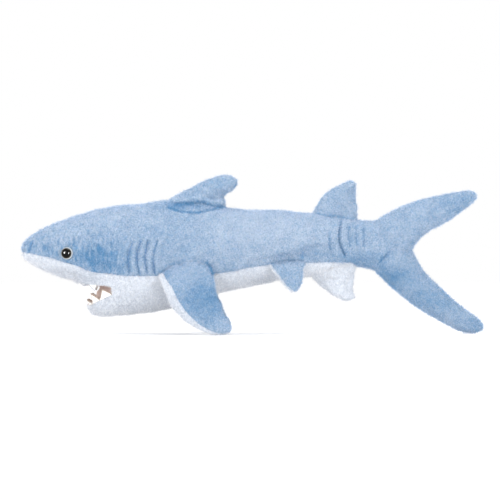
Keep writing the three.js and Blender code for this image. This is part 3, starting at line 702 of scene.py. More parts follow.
def wave_noise(size, seed, waves=28):
    """A smooth random field of about the given size in mm, roughly from -1 to 1."""
    rng = np.random.default_rng(seed)
    direction = rng.normal(size=(waves, 3))
    direction /= np.linalg.norm(direction, axis=1, keepdims=True)
    rate = 2 * math.pi / (size * rng.uniform(0.7, 1.6, (waves, 1)))
    phase = rng.uniform(0, 2 * math.pi, waves)

    def field(points):
        return np.sin(points @ (direction * rate).T + phase).sum(1) / math.sqrt(waves)

    return field


lumps_large = wave_noise(42, 1)
lumps_small = wave_noise(14, 2)
pile_clumps = wave_noise(4.2, 3, 40)
pile_fine = wave_noise(2.3, 4, 48)


def pile(points):
    """How far the pile stands up or lies flat at each point, in mm."""
    clumps, tufts = PILE_RELIEF
    return clumps * pile_clumps(points) + tufts * pile_fine(points)


# ---- Body skin ----


def body_form():
    """The closed form of torso and jaw, before the mouth is cut."""
    stations = np.linspace(0, 1, BODY_STATIONS) ** STATION_CROWDING
    c, s = circle(BODY_SIDES)
    across = rounded(s, BODY_ROUNDING)
    rings = []
    for x in NOSE_X + NOSE_GAP + (BODY_TOP[-1][0] - NOSE_X) * stations:
        top, wide, low = body_top(x), body_widest(x), body_bottom(x)
        z = wide + np.where(c > 0, top - wide, wide - low) * c
        rings.append(np.stack([np.full(BODY_SIDES, x), body_half_width(x) * across, z], 1))
    return loft(rings)


def lobe_form(shape):
    """One lobe of the tail as oval rings between its leading and trailing edges."""
    t = np.linspace(0, 1, LOBE_RINGS)
    front, back = spline(shape["lead"], t), spline(shape["trail"], t)
    c, s = circle(LOBE_SIDES)
    middle = front[:, None] + (back - front)[:, None] * ((1 + c) / 2)[None, :, None]
    y = spread(shape["half"])(t)[:, None] * s[None]
    return loft(np.stack([middle[..., 0], y, middle[..., 1]], 2))


def mouth_form():
    """The open mouth: a wedge that reaches back to the corners at the sides, and less far between them."""
    start_x = UPPER_LIP[0][0]
    sections = []
    for y in np.linspace(-MOUTH_REACH, MOUTH_REACH, MOUTH_SLICES):
        corner = MOUTH_BACK_X + (MOUTH_CORNER[0] - MOUTH_BACK_X) * min(1, (abs(y) / MOUTH_CORNER[1]) ** 2)
        upper_x, lower_x = np.linspace(start_x, corner, LIP_STEPS), np.linspace(corner, start_x, LIP_STEPS)
        x = np.concatenate([upper_x, lower_x])
        z = np.concatenate([profile(UPPER_LIP)(upper_x), lip_z(lower_x) - LOWER_LIP_CUT])
        sections.append(np.column_stack([x, np.full(len(x), y), z]))
    return loft(sections)


def pocket_form():
    """The low vault above the upper lip."""
    across, up = (rounded(wave, POCKET_ROUNDING) for wave in circle(POCKET_SIDES))
    rings = []
    for x in np.linspace(POCKET_HEIGHT[0][0], POCKET_HEIGHT[-1][0], LIP_STEPS):
        z = profile(UPPER_LIP)(x) + profile(POCKET_HEIGHT)(x) * up
        rings.append(np.stack([np.full(POCKET_SIDES, x), profile(POCKET_HALF_WIDTH)(x) * across, z], 1))
    return loft(rings)


def skin_form():
    """Torso, jaw and tail as one smooth closed surface with an open mouth."""
    body = temporary(*body_form())
    for cutter_form in (mouth_form(), pocket_form()):
        cutter = temporary(*cutter_form)
        cut = body.modifiers.new("cut", "BOOLEAN")
        cut.operation, cut.solver, cut.object = "DIFFERENCE", "EXACT", cutter
        points, faces = evaluated(body)
        bpy.data.objects.remove(cutter)
        body = temporary(points, faces)
    skin = temporary(*joined([evaluated(body), lobe_form(UPPER_LOBE), lobe_form(LOWER_LOBE)]))
    remesh = skin.modifiers.new("remesh", "REMESH")
    remesh.mode, remesh.voxel_size = "VOXEL", SKIN_VOXEL * MM
    points, faces = evaluated(skin)
    return smoothed(points, faces, SMOOTHING_ROUNDS), faces


def lumps(points, large, small):
    """The unevenness of the filling under the fabric."""
    return large * lumps_large(points) + small * lumps_small(points)


def on_flank(normals):
    """1 where the skin faces to the side, 0 on the back and the belly."""
    return smoothstep(0.15, 0.6, np.abs(normals[:, 1]))


def sculpt_body(points, faces):
    """The stuffed look of the body: seams, gills, eye sockets, folds, lumps and pile."""
    normals = normals_of(points, faces)
    x, y, z = points.T
    flank = on_flank(normals)
    near_nose = smoothstep(NOSE_X, NOSE_X + CALM_NOSE, x)
    near_tail = 1 - CALM_TAIL * smoothstep(*CALM_TAIL_X, x)
    push = lumps(points, *BODY_LUMPS) * near_nose * near_tail

    off_seam = z - side_seam(x)
    push += relief(off_seam, SEAM_RELIEF) + relief(y, BACK_SEAM_RELIEF) * (off_seam > 0)
    push += flank * relief(np.hypot(x - EYE[0], z - EYE[1]), SOCKET_RELIEF)
    for line, bumps, start, stop in GROOVES:
        gap, share = path_distance(x, z, line)
        push += flank * fade_ends(share, start, stop) * relief(gap, bumps)

    gap, share = path_distance(x, z, TAIL_CREASE)
    crease_x, crease_z = np.transpose(TAIL_CREASE[::-1])
    behind = x > np.interp(z, crease_z, crease_x)
    crease = np.where(behind, relief(gap, CREASE_BEHIND), relief(gap, CREASE_AHEAD))
    push += flank * fade_ends(share, 0.12, 0.85) * crease

    for seam in (DORSAL_SEAM, SECOND_SEAM):
        push += relief(path_distance(x, z, seam)[0], FIN_SEAM_RELIEF) * (z > UPPER_BACK_Z)

    over = z - line_z(x, FLANK_FOLD)
    step = FLANK_FOLD_STEP * smoothstep(2.5, -2.5, over) * smoothstep(-16, -4, over)
    on_fold = smoothstep(*FLANK_FOLD_START, x) * smoothstep(*FLANK_FOLD_END, x)
    push += flank * on_fold * (relief(over, OVER_FLANK_FOLD) - step)
    return points + normals * (push + pile(points))[:, None]


# ---- Tone of the pile, with painted shade and painted light ----


def spots(points, level, places):
    """An even level with soft spots of more or less at places in side view."""
    x, _, z = points.T
    tone = np.full(len(points), level)
    for cx, cz, rx, rz, change in places:
        tone += change * bell((x - cx) / rx, 1) * bell((z - cz) / rz, 1)
    return tone


def mottle(points):
    """How the tone changes from tuft to tuft."""
    clumps, tufts = PILE_MOTTLE
    return tufts * pile_fine(points) + clumps * pile_clumps(points)


def blue_tone(points):
    """Painted shade along the creases, folds and seams, a painted highlight on the gill ribs, painted shade
    and painted light in spots, and streaks on the head that are strongest low on its sides.
    """
    x, _, z = points.T
    tone = spots(points, BLUE_LEVEL, BLUE_TONE_AND_SHADING_SPOTS)
    for line, depth, width in CREASE_SHADE_AND_HIGHLIGHT:
        gap, share = path_distance(x, z, line)
        tone -= depth * bell(gap, width) * fade_ends(share, 0.08, 0.92)
    on_head = smoothstep(*HEAD_X, x)
    tone += 0.05 * lumps_small(points) + BACK_STREAKS * (1 - on_head) * mottle(points * COMBED_BACK)
    head_streaks = HEAD_STREAKS + LOW_HEAD_STREAKS * smoothstep(*LOW_HEAD_Z, z)
    tone += head_streaks * on_head * mottle(points * COMBED_DOWN)
    return np.clip(tone, *TONE_RANGE)


def white_tone(points):
    """White pile lies combed down, with the deepest streaks under the chin, and painted shade and painted
    light in spots.
    """
    under_chin = smoothstep(*CHIN_X, points[:, 0]) * smoothstep(*CHIN_Z, points[:, 2])
    streaks = (WHITE_STREAKS + CHIN_STREAKS * under_chin) * mottle(points * COMBED_DOWN)
    return np.clip(spots(points, WHITE_LEVEL, WHITE_TONE_AND_SHADING_SPOTS) + streaks, *TONE_RANGE)


# ---- Materials ----


def srgb(red, green, blue):
    """A colour given as it looks, from 0 to 255, as the linear colour that a shader takes."""
    scaled = [v / 255 for v in (red, green, blue)]
    return tuple(v / 12.92 if v <= 0.04045 else ((v + 0.055) / 1.055) ** 2.4 for v in scaled) + (1.0,)


class Nodes:
    """Short calls for building a node material."""

    def __init__(self, name):
        self.material = bpy.data.materials.new(name)
        self.material.use_nodes = True
        self.tree = self.material.node_tree
        self.shader = self.tree.nodes["Principled BSDF"]

    def fill(self, node, values):
        """Link or set each of the node's inputs that values names."""
        for key, value in values.items():
            if isinstance(value, bpy.types.NodeSocket):
                self.tree.links.new(value, node.inputs[key])
            else:
                node.inputs[key].default_value = value

    def add(self, kind, inputs, **settings):
        node = self.tree.nodes.new(kind)
        for key, value in settings.items():
            setattr(node, key, value)
        self.fill(node, inputs)
        return node

    def set(self, **values):
        self.fill(self.shader, {name.replace("_", " "): value for name, value in values.items()})

    def rest(self):
        """The point's place in the toy at rest."""
        return self.add("ShaderNodeAttribute", {}, attribute_name="rest").outputs["Vector"]

    def math(self, operation, a, b):
        return self.add("ShaderNodeMath", {0: a, 1: b}, operation=operation).outputs[0]

    def noise(self, place, scale, detail, roughness):
        inputs = {"Vector": place, "Scale": scale, "Detail": detail, "Roughness": roughness}
        return self.add("ShaderNodeTexNoise", inputs).outputs["Fac"]

    def swing(self, noise, amount, level):
        """A level that a noise from 0 to 1 moves up and down."""
        return self.math("ADD", self.math("MULTIPLY", self.math("SUBTRACT", noise, 0.5), amount), level)

    def mix(self, factor, a, b):
        return self.add("ShaderNodeMix", {0: factor, 6: a, 7: b}, data_type="RGBA").outputs[2]

    def bump(self, height, distance, strength):
        inputs = {"Height": height, "Distance": distance * MM, "Strength": strength}
        return self.add("ShaderNodeBump", inputs).outputs[0]


def plush(name, deep, light, shadow, streak, speckle):
    """Short-pile plush: tufts that catch the light, with darker roots between them."""
    n = Nodes(name)
    rest = n.rest()
    stretch = {0: rest, 1: (1000, 1000, 600)}
    drawn_out = n.add("ShaderNodeVectorMath", stretch, operation="MULTIPLY").outputs[0]
    tufts = n.noise(drawn_out, 0.8, 2, 0.7)
    fine = n.noise(rest, 1000, 2, 0.65)
    patches = n.noise(rest, 75, 2, 0.5)
    tone = n.add("ShaderNodeAttribute", {}, attribute_name="tone").outputs["Fac"]
    colour = n.mix(n.swing(patches, 0.35, n.swing(tufts, streak * 6, tone)), deep, light)
    roots = n.add("ShaderNodeMapRange", {0: fine, 1: 0.3, 2: 0.5, 3: speckle, 4: 0.0}).outputs[0]
    height = n.math("ADD", n.math("MULTIPLY", tufts, 0.6), n.math("MULTIPLY", fine, 0.6))
    n.set(Base_Color=n.mix(roots, colour, shadow), Normal=n.bump(height, 0.9, 0.55), Roughness=0.95)
    n.set(Sheen_Weight=0.35, Sheen_Roughness=0.45, Sheen_Tint=light, Specular_IOR_Level=0.02)
    return n.material


def strands(name, deep, light):
    """The colour of single hairs of the pile; their tone comes through the UV map that they grow from."""
    n = Nodes(name)
    grown_from = n.add("ShaderNodeUVMap", {}, uv_map="pile").outputs[0]
    tone = n.add("ShaderNodeSeparateXYZ", {0: grown_from}).outputs[0]
    single = n.add("ShaderNodeHairInfo", {}).outputs["Random"]
    n.set(Base_Color=n.mix(n.swing(single, 1.1, tone), deep, light), Roughness=0.8, Specular_IOR_Level=0.02)
    return n.material


def felt(name, colour, shade):
    """Thin pressed felt with short tangled fibres."""
    n = Nodes(name)
    fibres = n.noise(n.rest(), 900, 4, 0.7)
    n.set(Base_Color=n.mix(fibres, shade, colour), Normal=n.bump(fibres, 0.3, 0.4))
    n.set(Roughness=0.95, Sheen_Weight=0.25, Specular_IOR_Level=0.15)
    return n.material


def sewing_thread(name, colour, shade):
    """Twisted sewing thread."""
    n = Nodes(name)
    inputs = {"Vector": n.rest(), "Scale": 700.0, "Distortion": 1.0}
    twist = n.add("ShaderNodeTexWave", inputs, bands_direction="DIAGONAL").outputs["Fac"]
    n.set(Base_Color=n.mix(twist, shade, colour), Roughness=0.6, Sheen_Weight=0.2)
    return n.material


def gloss(name, colour, speck):
    """Polished moulded plastic with faint surface scuffs."""
    n = Nodes(name)
    scuffs = n.noise(n.rest(), 400, 3, 0.6)
    worn = n.add("ShaderNodeMapRange", {0: scuffs, 1: 0.3, 2: 0.8, 3: 0.04, 4: 0.1}).outputs[0]
    n.set(Base_Color=n.mix(scuffs, colour, speck), Roughness=worn, Specular_IOR_Level=0.1)
    return n.material


BLUE_PLUSH = plush(
    "blue_plush", srgb(84, 127, 162), srgb(168, 181, 195), srgb(62, 100, 140), streak=0.26, speckle=0.6
)
WHITE_PLUSH = plush(
    "white_plush", srgb(160, 168, 180), srgb(224, 229, 236), srgb(138, 147, 162), streak=0.2, speckle=0.5
)
BLUE_STRANDS = strands("blue_strands", srgb(108, 158, 198), srgb(208, 217, 232))
WHITE_STRANDS = strands("white_strands", srgb(188, 193, 202), srgb(250, 250, 251))
WHITE_FELT = felt("white_felt", srgb(245, 243, 238), srgb(222, 218, 212))
FELT_SHADE = felt("felt_in_shade", srgb(196, 198, 204), srgb(158, 162, 172))
FELT_EDGE = felt("felt_cut_edge", srgb(182, 164, 150), srgb(132, 114, 102))
MOUTH_FELT = felt("mouth_felt", srgb(200, 178, 168), srgb(164, 140, 132))
THREAD = sewing_thread("stitch_thread", srgb(92, 140, 186), srgb(62, 108, 158))
EYE_BLACK = gloss("eye_black", srgb(6, 6, 8), srgb(14, 14, 16))
EYE_IRIS = gloss("eye_iris", srgb(64, 58, 48), srgb(44, 40, 32))
# The rim's pale grey is a painted reflection of the light round the clear dome's edge.
EYE_RIM_REFLECTION = gloss("eye_rim_painted_reflection", srgb(216, 222, 226), srgb(184, 188, 190))
# Per colour slot of a fabric: its material, its tone and the colour of its pile.
FABRICS = {
    "blue_plush": (BLUE_PLUSH, blue_tone, BLUE_STRANDS),
    "white_plush": (WHITE_PLUSH, white_tone, WHITE_STRANDS),
    "mouth_felt": (MOUTH_FELT, white_tone, None),
}


# ---- Fabric panels and their pile ----


def grow_pile(obj, material, outer, tone, area, seed):
    """Short hairs on the outside of a skin. outer is how many of its points are on the outside."""
    mesh = obj.data
    corners = np.zeros(len(mesh.loops), np.int32)
    mesh.loops.foreach_get("vertex_index", corners)
    tones = np.column_stack([tone[corners], np.zeros(len(corners))])
    mesh.uv_layers.new(name="pile").uv.foreach_set("vector", tones.astype(np.float32).ravel())
    obj.vertex_groups.new(name="pile").add(list(range(outer)), 1.0, "REPLACE")
    mesh.materials.append(material)
    obj.modifiers.new("pile", "PARTICLE_SYSTEM")
    system = obj.particle_systems[-1]
    system.seed = seed
    system.vertex_group_density = "pile"
    hair = system.settings
    hair.type = "HAIR"
    hair.count = int(area * PILE_DENSITY)
    hair.hair_length = PILE_LENGTH * MM
    hair.hair_step = 3
    hair.render_step = 2
    hair.display_step = 2
    hair.use_advanced_hair = True
    hair.brownian_factor = 0.0008
    hair.material = len(mesh.materials)
    hair.root_radius = 0.2
    hair.tip_radius = 0.06
    hair.radius_scale = MM


def panel_of(name, points, faces, slot, nodes, fill):
    """A panel of fabric from its outer surface: a shell of constant thickness, with pile on plush."""
    material, tone_at, hairs = FABRICS[slot]
    solid, solid_faces = shell(points, faces, SKIN_THICKNESS)
    tone = tone_at(solid)
    obj = add_object(name, solid, solid_faces, material, tone)
    if hairs:
        grow_pile(obj, hairs, len(points), tone, surface(points, faces), len(bpy.data.objects))
    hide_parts(*nodes)
    return obj


# ---- Fins ----


def fin_rings(shape):
    """Rings of (x, y, z) in the fin's own upright plane; the first point is at the trailing edge."""
    t = np.linspace(0, 1, FIN_RINGS)
    corners = spline(shape["pairs"], t)
    front, back = corners[:, :2], corners[:, 2:]
    c, s = circle(FIN_AROUND)
    place = (front + back)[:, None] / 2 + (back - front)[:, None] / 2 * c[None, :, None]
    belly = np.sign(s) * (1 - c**2) ** FIN_ROUNDING
    y = -spread(shape["half"])(t)[:, None] * belly[None]
    return np.stack([place[..., 0], y, place[..., 1]], 2)


def middle_base(base, up):
    """The line where a fin of the middle plane is sewn to the body."""
    c, s = circle(FIN_AROUND)
    x = (base["front"] + base["back"]) / 2 + (base["back"] - base["front"]) / 2 * c
    edge = body_top(x) if up > 0 else body_bottom(x)
    z = edge - up * base["drop"] * np.abs(s) ** MIDDLE_BASE_ROUNDING
    return np.stack([x, -np.sign(s) * (body_y(x, z) - MIDDLE_FIN_SUNK), z - up * 0.5], 1)


def paired_base(base):
    """The line where the left pectoral or pelvic fin is sewn to the flank."""
    (fx, fz), (bx, bz) = base["front"], base["back"]
    c, s = circle(FIN_AROUND)
    share = (1 + c) / 2
    x = fx + (bx - fx) * share
    arch = base["arch"] * (1 + base["skew"] * c)
    height = np.where(s > 0, arch, base["under"]) * rounded(s, PAIRED_BASE_ROUNDING)
    z = fz + (bz - fz) * share + height
    return np.stack([x, -(body_y(x, z) - PAIRED_FIN_SUNK), z], 1)


def fin_grid(base, rings):
    """The skirt from the sewn line, running smoothly into the fin's rings."""
    rows = []
    for share in np.linspace(0, 1, SKIRT_RINGS + 1)[:-1]:
        w = smoothstep(0, 1, share)
        at = share * SKIRT_REACH
        low = int(at)
        ring = rings[low] * (1 - (at - low)) + rings[low + 1] * (at - low)
        rows.append(base * (1 - w) + ring * w)
    return np.concatenate([np.array(rows), rings[SKIRT_REACH:]])


def sculpt_fin(grid, seams):
    """Lumps, pile and sewn edges. seams are the columns where two panels meet, one per row."""
    rows, columns = grid.shape[:2]
    points = grid.reshape(-1, 3)
    x, _, z = points.T
    normals = normals_of(points, grid_faces(rows, columns, True))
    if np.einsum("ij,ij->i", normals, points - grid.mean((0, 1))).sum() < 0:
        normals = -normals
    push = lumps(points, *FIN_LUMPS) + pile(points)
    for seam in seams:
        off = np.abs((np.arange(columns)[None] - seam[:, None] + columns / 2) % columns - columns / 2)
        push += relief(off, FIN_EDGE_RELIEF).ravel()
    gap, _ = path_distance(x, z, DORSAL_FOLD)
    over = z > line_z(x, DORSAL_FOLD)
    fold = np.where(over, relief(gap, OVER_DORSAL_FOLD), relief(gap, UNDER_DORSAL_FOLD))
    push += fold * on_flank(normals)
    for line, bumps in FIN_GROOVES:
        gap, share = path_distance(x, z, line)
        push += relief(gap, bumps) * smoothstep(0, 0.1, share)
    row = np.repeat(np.arange(rows), columns)
    push *= smoothstep(0, 3, row) * smoothstep(rows, rows - 4, row)
    return (points + normals * push[:, None]).reshape(grid.shape)


def fin_panel(grid, start, stop):
    """The part of a fin's grid between two seam columns, given per row, resampled to even columns."""
    rows, columns = grid.shape[:2]
    count = columns // 2 + 1
    panel = np.empty((rows, count, 3))
    for i in range(rows):
        at = np.linspace(start[i], stop[i], count)
        low = np.floor(at).astype(int)
        f = (at - low)[:, None]
        panel[i] = grid[i, low % columns] * (1 - f) + grid[i, (low + 1) % columns] * f
    return panel


def panel_mesh(panel, outward):
    """A fin panel as one surface, with its tip drawn together."""
    rows, columns = panel.shape[:2]
    tip = rows * columns
    last = tip - columns + np.arange(columns - 1)
    fan = np.stack([last, last + 1, np.full(columns - 1, tip)], 1)
    middle = (panel[-1, 0] + panel[-1, -1]) / 2
    points = np.concatenate([panel.reshape(-1, 3), middle[None]])
    faces = np.concatenate([grid_faces(rows, columns, False), fan])
    return points, facing(points, faces, outward)


def make_middle_fin(name, shape):
    """A fin of the middle plane, as a left and a right panel."""
    grid = fin_grid(middle_base(shape["base"], shape["up"]), fin_rings(shape))
    rows, half_way = len(grid), FIN_AROUND / 2
    grid = sculpt_fin(grid, [np.zeros(rows), np.full(rows, half_way)])
    for label, side, start in (("left", -1, 0), ("right", 1, half_way)):
        panel = fin_panel(grid, np.full(rows, start), np.full(rows, start + half_way))
        nodes = [f"{name}_panel_{label}", f"{name}_filling"]
        mesh = panel_mesh(panel, (0, side, 0))
        obj = panel_of(f"{name}_skin_{label}", *mesh, shape["slot"], nodes, fill=0.6)
        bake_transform(obj)


def splayed(rings, shape):
    """The rings of an upright fin, turned outwards about its hinge on the left flank."""
    splay, (hinge_y, hinge_z) = shape["splay"], shape["hinge"]
    x, y, z = np.moveaxis(rings, 2, 0)
    drop = (z - hinge_z) / math.cos(splay)
    out = -hinge_y + y * math.cos(splay) + drop * math.sin(splay)
    return np.stack([x, out, hinge_z - y * math.sin(splay) + drop * math.cos(splay)], 2)


def make_paired_fin(name, shape):
    """A fin on each flank: blue outside, and white under it and round its leading edge."""
    grid = fin_grid(paired_base(shape["base"]), splayed(fin_rings(shape), shape))
    wrap = spread(shape["white_wrap"])(np.linspace(0, 1, len(grid)))
    lead_seam = FIN_AROUND * (0.5 - np.arccos(1 - 2 * wrap) / (2 * math.pi))
    trail_seam = np.full(len(grid), -TRAIL_WRAP * FIN_AROUND)
    grid = sculpt_fin(grid, [lead_seam, trail_seam])
    panels = {
        "outer": (fin_panel(grid, trail_seam, lead_seam), (0, -1, 0.5), "blue_plush"),
        "under": (fin_panel(grid, lead_seam, trail_seam + FIN_AROUND), (0, 1, -0.5), "white_plush"),
    }
    for label, side in (("left", -1), ("right", 1)):
        mirror = np.array([1, -side, 1])
        body = f"{name}_{label}"
        for kind, (panel, outward, slot) in panels.items():
            nodes = [f"{body}_{kind}_panel"] + ([f"{body}_filling"] if kind == "outer" else [])
            mesh = panel_mesh(panel * mirror, outward * mirror)
            obj = panel_of(f"{body}_{kind}_skin", *mesh, slot, nodes, fill=0.5)
            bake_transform(obj)


# ---- Body, jaw and tail ----


def in_mouth(points):
    """How far inside the lips a point of the skin lies, positive on the lining."""
    x, y, z = points.T
    depth = body_y(x, z) - np.abs(y) - LINING_DEPTH * np.where(z > lip_z(x) + 2, ROOF_SHARE, 1)
    length = np.minimum(MOUTH_CORNER[0] + 3 - x, x - MOUTH_FRONT_X)
    height = np.minimum(z - body_bottom(x) - LINING_DEPTH, MOUTH_ROOF_Z - z)
    return np.minimum(np.minimum(depth, length), height)


def cuts(points):
    """How the unsculpted form is cut: each field is positive on the side that its name says."""
    x, y, z = points.T
    return {
        "above seam": z - side_seam(x) - SEAM_GAP,
        "below seam": side_seam(x) - SEAM_GAP - z,
        "left": -y - SEAM_GAP,
        "right": y - SEAM_GAP,
        "in mouth": in_mouth(points),
        "out of mouth": -in_mouth(points),
        "ahead of throat": SNOUT_SEAM_X - x,
        "over mouth": z - mouth_level(x),
        "off snout": np.maximum(x - SNOUT_SEAM_X, mouth_level(x) - z),
    }


def make_body():
    """The skins of body, jaw and tail, cut along the seams. Each point keeps its place before sculpting in
    three more columns, so that the seams run true."""
    form, form_faces = skin_form()
    sculpted = np.column_stack([sculpt_body(form, form_faces), form])

    def skin(name, sides, slot, *nodes):
        points, faces = sculpted, form_faces
        for side in sides:
            points, faces = clip(points, faces, cuts(points[:, 3:])[side])
        return panel_of(name, points[:, :3], faces, slot, nodes, fill=0.7)

    for label, fillings in (("left", ("torso_filling", "tail_filling")), ("right", ())):
        nodes = (f"side_panel_{label}", f"tail_panel_{label}", *fillings)
        flank = skin(f"{label}_flank_skin", ("above seam", label), "blue_plush", *nodes)
        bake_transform(flank)

    sides = ("out of mouth", "below seam", "ahead of throat", "over mouth")
    snout = skin("snout_skin", sides, "white_plush", "snout_panel")
    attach(snout, "torso")
    sides, nodes = ("out of mouth", "below seam", "off snout"), ("belly_panel", "chin_panel", "chin_filling")
    belly = skin("belly_skin", sides, "white_plush", *nodes)
    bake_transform(belly)

    lining = skin("mouth_lining", ("in mouth",), "mouth_felt", "palate_lining", "jaw_lining")
    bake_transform(lining)


# ---- Teeth, eyes and stitches ----


def lip_line(height, inset):
    """Points along the left half of a lip, from its front on the middle line to the corner, moved inwards
    by inset. height gives z at x."""
    x = np.linspace(LIP_SEARCH_X, MOUTH_CORNER[0], 900)
    z = height(x)
    in_body = body_bottom(x) < z - 0.3
    x, z = x[in_body], z[in_body]
    line = np.column_stack([x, -body_y(x, z), z])
    line = np.concatenate([[[x[0] - 0.2, 0, z[0]]], line])
    reach = np.concatenate([[0], np.cumsum(np.linalg.norm(np.diff(line, axis=0), axis=1))])
    even = np.linspace(0, reach[-1], TOOTH_STEPS)
    line = np.column_stack([np.interp(even, reach, column) for column in line.T])
    along = np.gradient(line, axis=0)
    inward = np.column_stack([-along[:, 1], along[:, 0], np.zeros(TOOTH_STEPS)])
    inward /= np.linalg.norm(inward, axis=1, keepdims=True)
    inward *= np.sign(inward[:, 0] + 1e-9)[:, None]
    return line + inward * inset


def tooth_heights(line, teeth):
    """How far a strip of teeth stands out along a line, up to its last tooth."""
    marks = [0] + [int(np.abs(line[:, 0] - end_x).argmin()) for end_x, _, _ in teeth]
    tall = np.full(marks[-1] + 1, VALLEY)
    for a, b, (_, peak, tip) in zip(marks, marks[1:], teeth):
        share = (np.arange(a, b + 1) - a) / (b - a)
        tall[a : b + 1] += (peak - VALLEY) * np.minimum(share / tip, (1 - share) / (1 - tip))
    return tall


def felt_teeth(name, height, teeth, side_out, lean, tuck, inset, edge):
    """A strip of felt with a saw-toothed edge that follows a lip round the mouth."""
    line = lip_line(height, inset)
    tall = tooth_heights(line, teeth)
    line = line[: len(tall)]
    line = np.concatenate([line[::-1], line[1:] * [1, -1, 1]])
    tall = np.concatenate([tall[::-1], tall[1:]])
    shares = np.linspace(0, 1, TOOTH_ROWS)
    rows = []
    for share in shares:
        out = -tuck + (tall + tuck) * share
        forward = -lean * np.maximum(out, 0)
        rows.append(line + np.column_stack([forward, np.zeros(len(line)), out * side_out]))
    points = np.concatenate(rows)
    faces = facing(points, grid_faces(TOOTH_ROWS, len(line), False), (-1, 0, 0))
    below_edge = ((tall + tuck)[None] * (1 - shares)[:, None]).ravel()
    cut_edge = below_edge[faces].mean(1) < TOOTH_EDGE
    points, faces = shell(points, faces, TOOTH_THICKNESS)
    obj = add_object(f"{name}_felt_teeth", points, faces, WHITE_FELT, sharp_degrees=30)
    obj.data.materials.append(edge)
    index = np.ones(len(faces), np.int32)
    index[: 2 * len(cut_edge)] = np.tile(cut_edge, 2)
    obj.data.polygons.foreach_set("material_index", index)
    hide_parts(f"{name}_teeth")
    return obj


def make_teeth():
    lower = felt_teeth("lower", lip_z, LOWER_TEETH, side_out=1, lean=0.5, tuck=2, inset=0.6, edge=FELT_EDGE)
    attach(lower, "jaw")
    roof = profile(UPPER_LIP)
    upper = felt_teeth("upper", roof, UPPER_TEETH, side_out=-1, lean=0.1, tuck=2, inset=1.2, edge=FELT_SHADE)
    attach(upper, "torso")


def lathe(outline, segments):
    """A turned form about Z from (radius, height) points."""
    c, s = circle(segments)
    return loft([np.column_stack([r * c, r * s, np.full(segments, h)]) for r, h in outline])


def flank_point(x, z, side):
    return np.array([x, float(side * body_y(x, z)), z])


def make_eyes():
    """Safety eyes: a pale rim painted as the light that the clear dome's edge reflects, a dark brown ring
    and a black pupil on one polished dome.
    """
    x, z = EYE
    dome = [
        (EYE_RADIUS * math.cos(a) ** DOME_ROUNDING + DOME_POLE, DOME_BASE + DOME_HEIGHT * math.sin(a))
        for a in np.linspace(0, math.pi / 2, DOME_RINGS)
    ]
    for label, side in (("left", -1), ("right", 1)):
        place = flank_point(x, z, side)
        normal = np.cross(flank_point(x + 1, z, side) - place, flank_point(x, z + 1, side) - place)
        normal *= side * np.sign(normal[1]) / np.linalg.norm(normal)
        turn = np.array(Vector((0, 0, 1)).rotation_difference(Vector(normal)).to_matrix())
        points, faces = lathe(BUTTON_OUTLINE + dome, DOME_SIDES)
        radius = np.hypot(points[:, 0], points[:, 1])[faces].mean(1)
        in_socket = points[faces, 2].mean(1) < DOME_BASE
        points = points @ turn.T + place
        obj = add_object(f"eye_{label}_button", points, faces, EYE_BLACK, sharp_degrees=60)
        obj.data.materials.append(EYE_IRIS)
        obj.data.materials.append(EYE_RIM_REFLECTION)
        # Past IRIS_RADIUS the dome takes the rim's painted reflection.
        zone = np.select([in_socket, radius < PUPIL_RADIUS, radius < IRIS_RADIUS], [0, 0, 1], 2)
        obj.data.polygons.foreach_set("material_index", zone.astype(np.int32))
        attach(obj, "torso")
        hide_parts(f"eye_{label}_dome", f"eye_{label}_back", f"eye_{label}_washer")


def tube(line, radius, sides=10):
    """A round thread along a line of points."""
    along = np.gradient(line, axis=0)
    along /= np.linalg.norm(along, axis=1, keepdims=True)
    across = np.cross(along, [0, 1, 0])
    across /= np.linalg.norm(across, axis=1, keepdims=True)
    out = np.cross(across, along)
    c, s = (wave[None, :, None] for wave in circle(sides))
    return loft(line[:, None] + radius * (across[:, None] * c + out[:, None] * s))


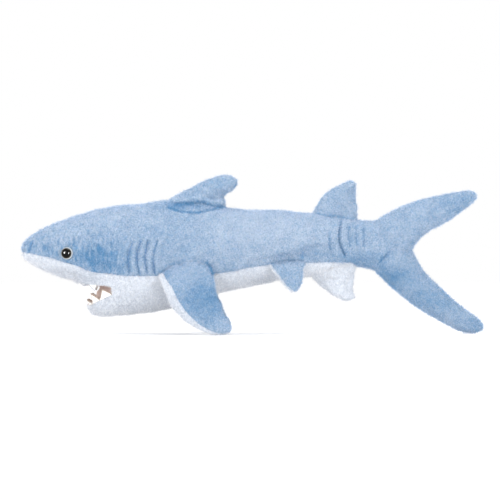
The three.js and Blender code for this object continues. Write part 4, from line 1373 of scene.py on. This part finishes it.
def make_stitches():
    """The thread that pulls the gill and nostril grooves in."""
    for label, side in (("left", -1), ("right", 1)):
        lines = [(f"gill_stitch_{label}_{i + 1}", arc, GILL_DEPTH) for i, arc in enumerate(GILLS)]
        for name, arc, depth in [*lines, (f"nostril_stitch_{label}", NOSTRIL, NOSTRIL_DEPTH)]:
            x, z = spline(arc, np.linspace(*THREAD_SPAN, THREAD_STEPS)).T
            line = np.column_stack([x, side * (body_y(x, z) - depth + THREAD_RISE), z])
            obj = add_object(f"{name}_thread", *tube(line, THREAD_RADIUS), THREAD)
            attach(obj, "torso")
            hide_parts(name)


# ---- Studio ----


def make_stage():
    """A pale floor, a white surround and soft light."""
    mesh = bpy.data.meshes.new("floor")
    corners = [(-1, -1), (1, -1), (1, 1), (-1, 1)]
    mesh.from_pydata([(x * FLOOR_SIZE, y * FLOOR_SIZE, 0) for x, y in corners], [], [(0, 1, 2, 3)])
    n = Nodes("floor")
    n.set(Base_Color=(0.78, 0.78, 0.79, 1), Roughness=1.0, Specular_IOR_Level=0.0)
    n.set(Emission_Color=(1, 1, 1, 1), Emission_Strength=0.26)
    mesh.materials.append(n.material)
    link_new("floor", mesh)

    world = bpy.data.worlds.new("studio")
    world.use_nodes = True
    world.node_tree.nodes["Background"].inputs["Color"].default_value = (1, 1, 1, 1)
    world.node_tree.nodes["Background"].inputs["Strength"].default_value = 1.0
    bpy.context.scene.world = world
    bpy.context.scene.view_settings.view_transform = "Standard"

    for name, place, target, size, power, catchlight in SOFTBOXES:
        data = bpy.data.lights.new(name, "AREA")
        data.shape, data.size, data.size_y, data.energy = "RECTANGLE", size[0], size[1], power
        lamp = link_new(name, data)
        lamp.location = place
        lamp.rotation_euler = (Vector(target) - Vector(place)).to_track_quat("-Z", "Y").to_euler()
        lamp.visible_camera = False
        lamp.visible_diffuse = not catchlight


def make_camera():
    data = bpy.data.cameras.new("camera")
    data.lens, data.sensor_width = CAMERA_LENS, CAMERA_SENSOR
    camera = link_new("camera", data)
    camera.location = CAMERA_PLACE
    camera.rotation_euler = (math.radians(90), 0, 0)
    bpy.context.scene.camera = camera


make_camera()
make_stage()
make_body()
make_teeth()
make_eyes()
make_stitches()
for fin_name, fin_shape in MIDDLE_FINS.items():
    make_middle_fin(fin_name, fin_shape)
for fin_name, fin_shape in PAIRED_FINS.items():
    make_paired_fin(fin_name, fin_shape)
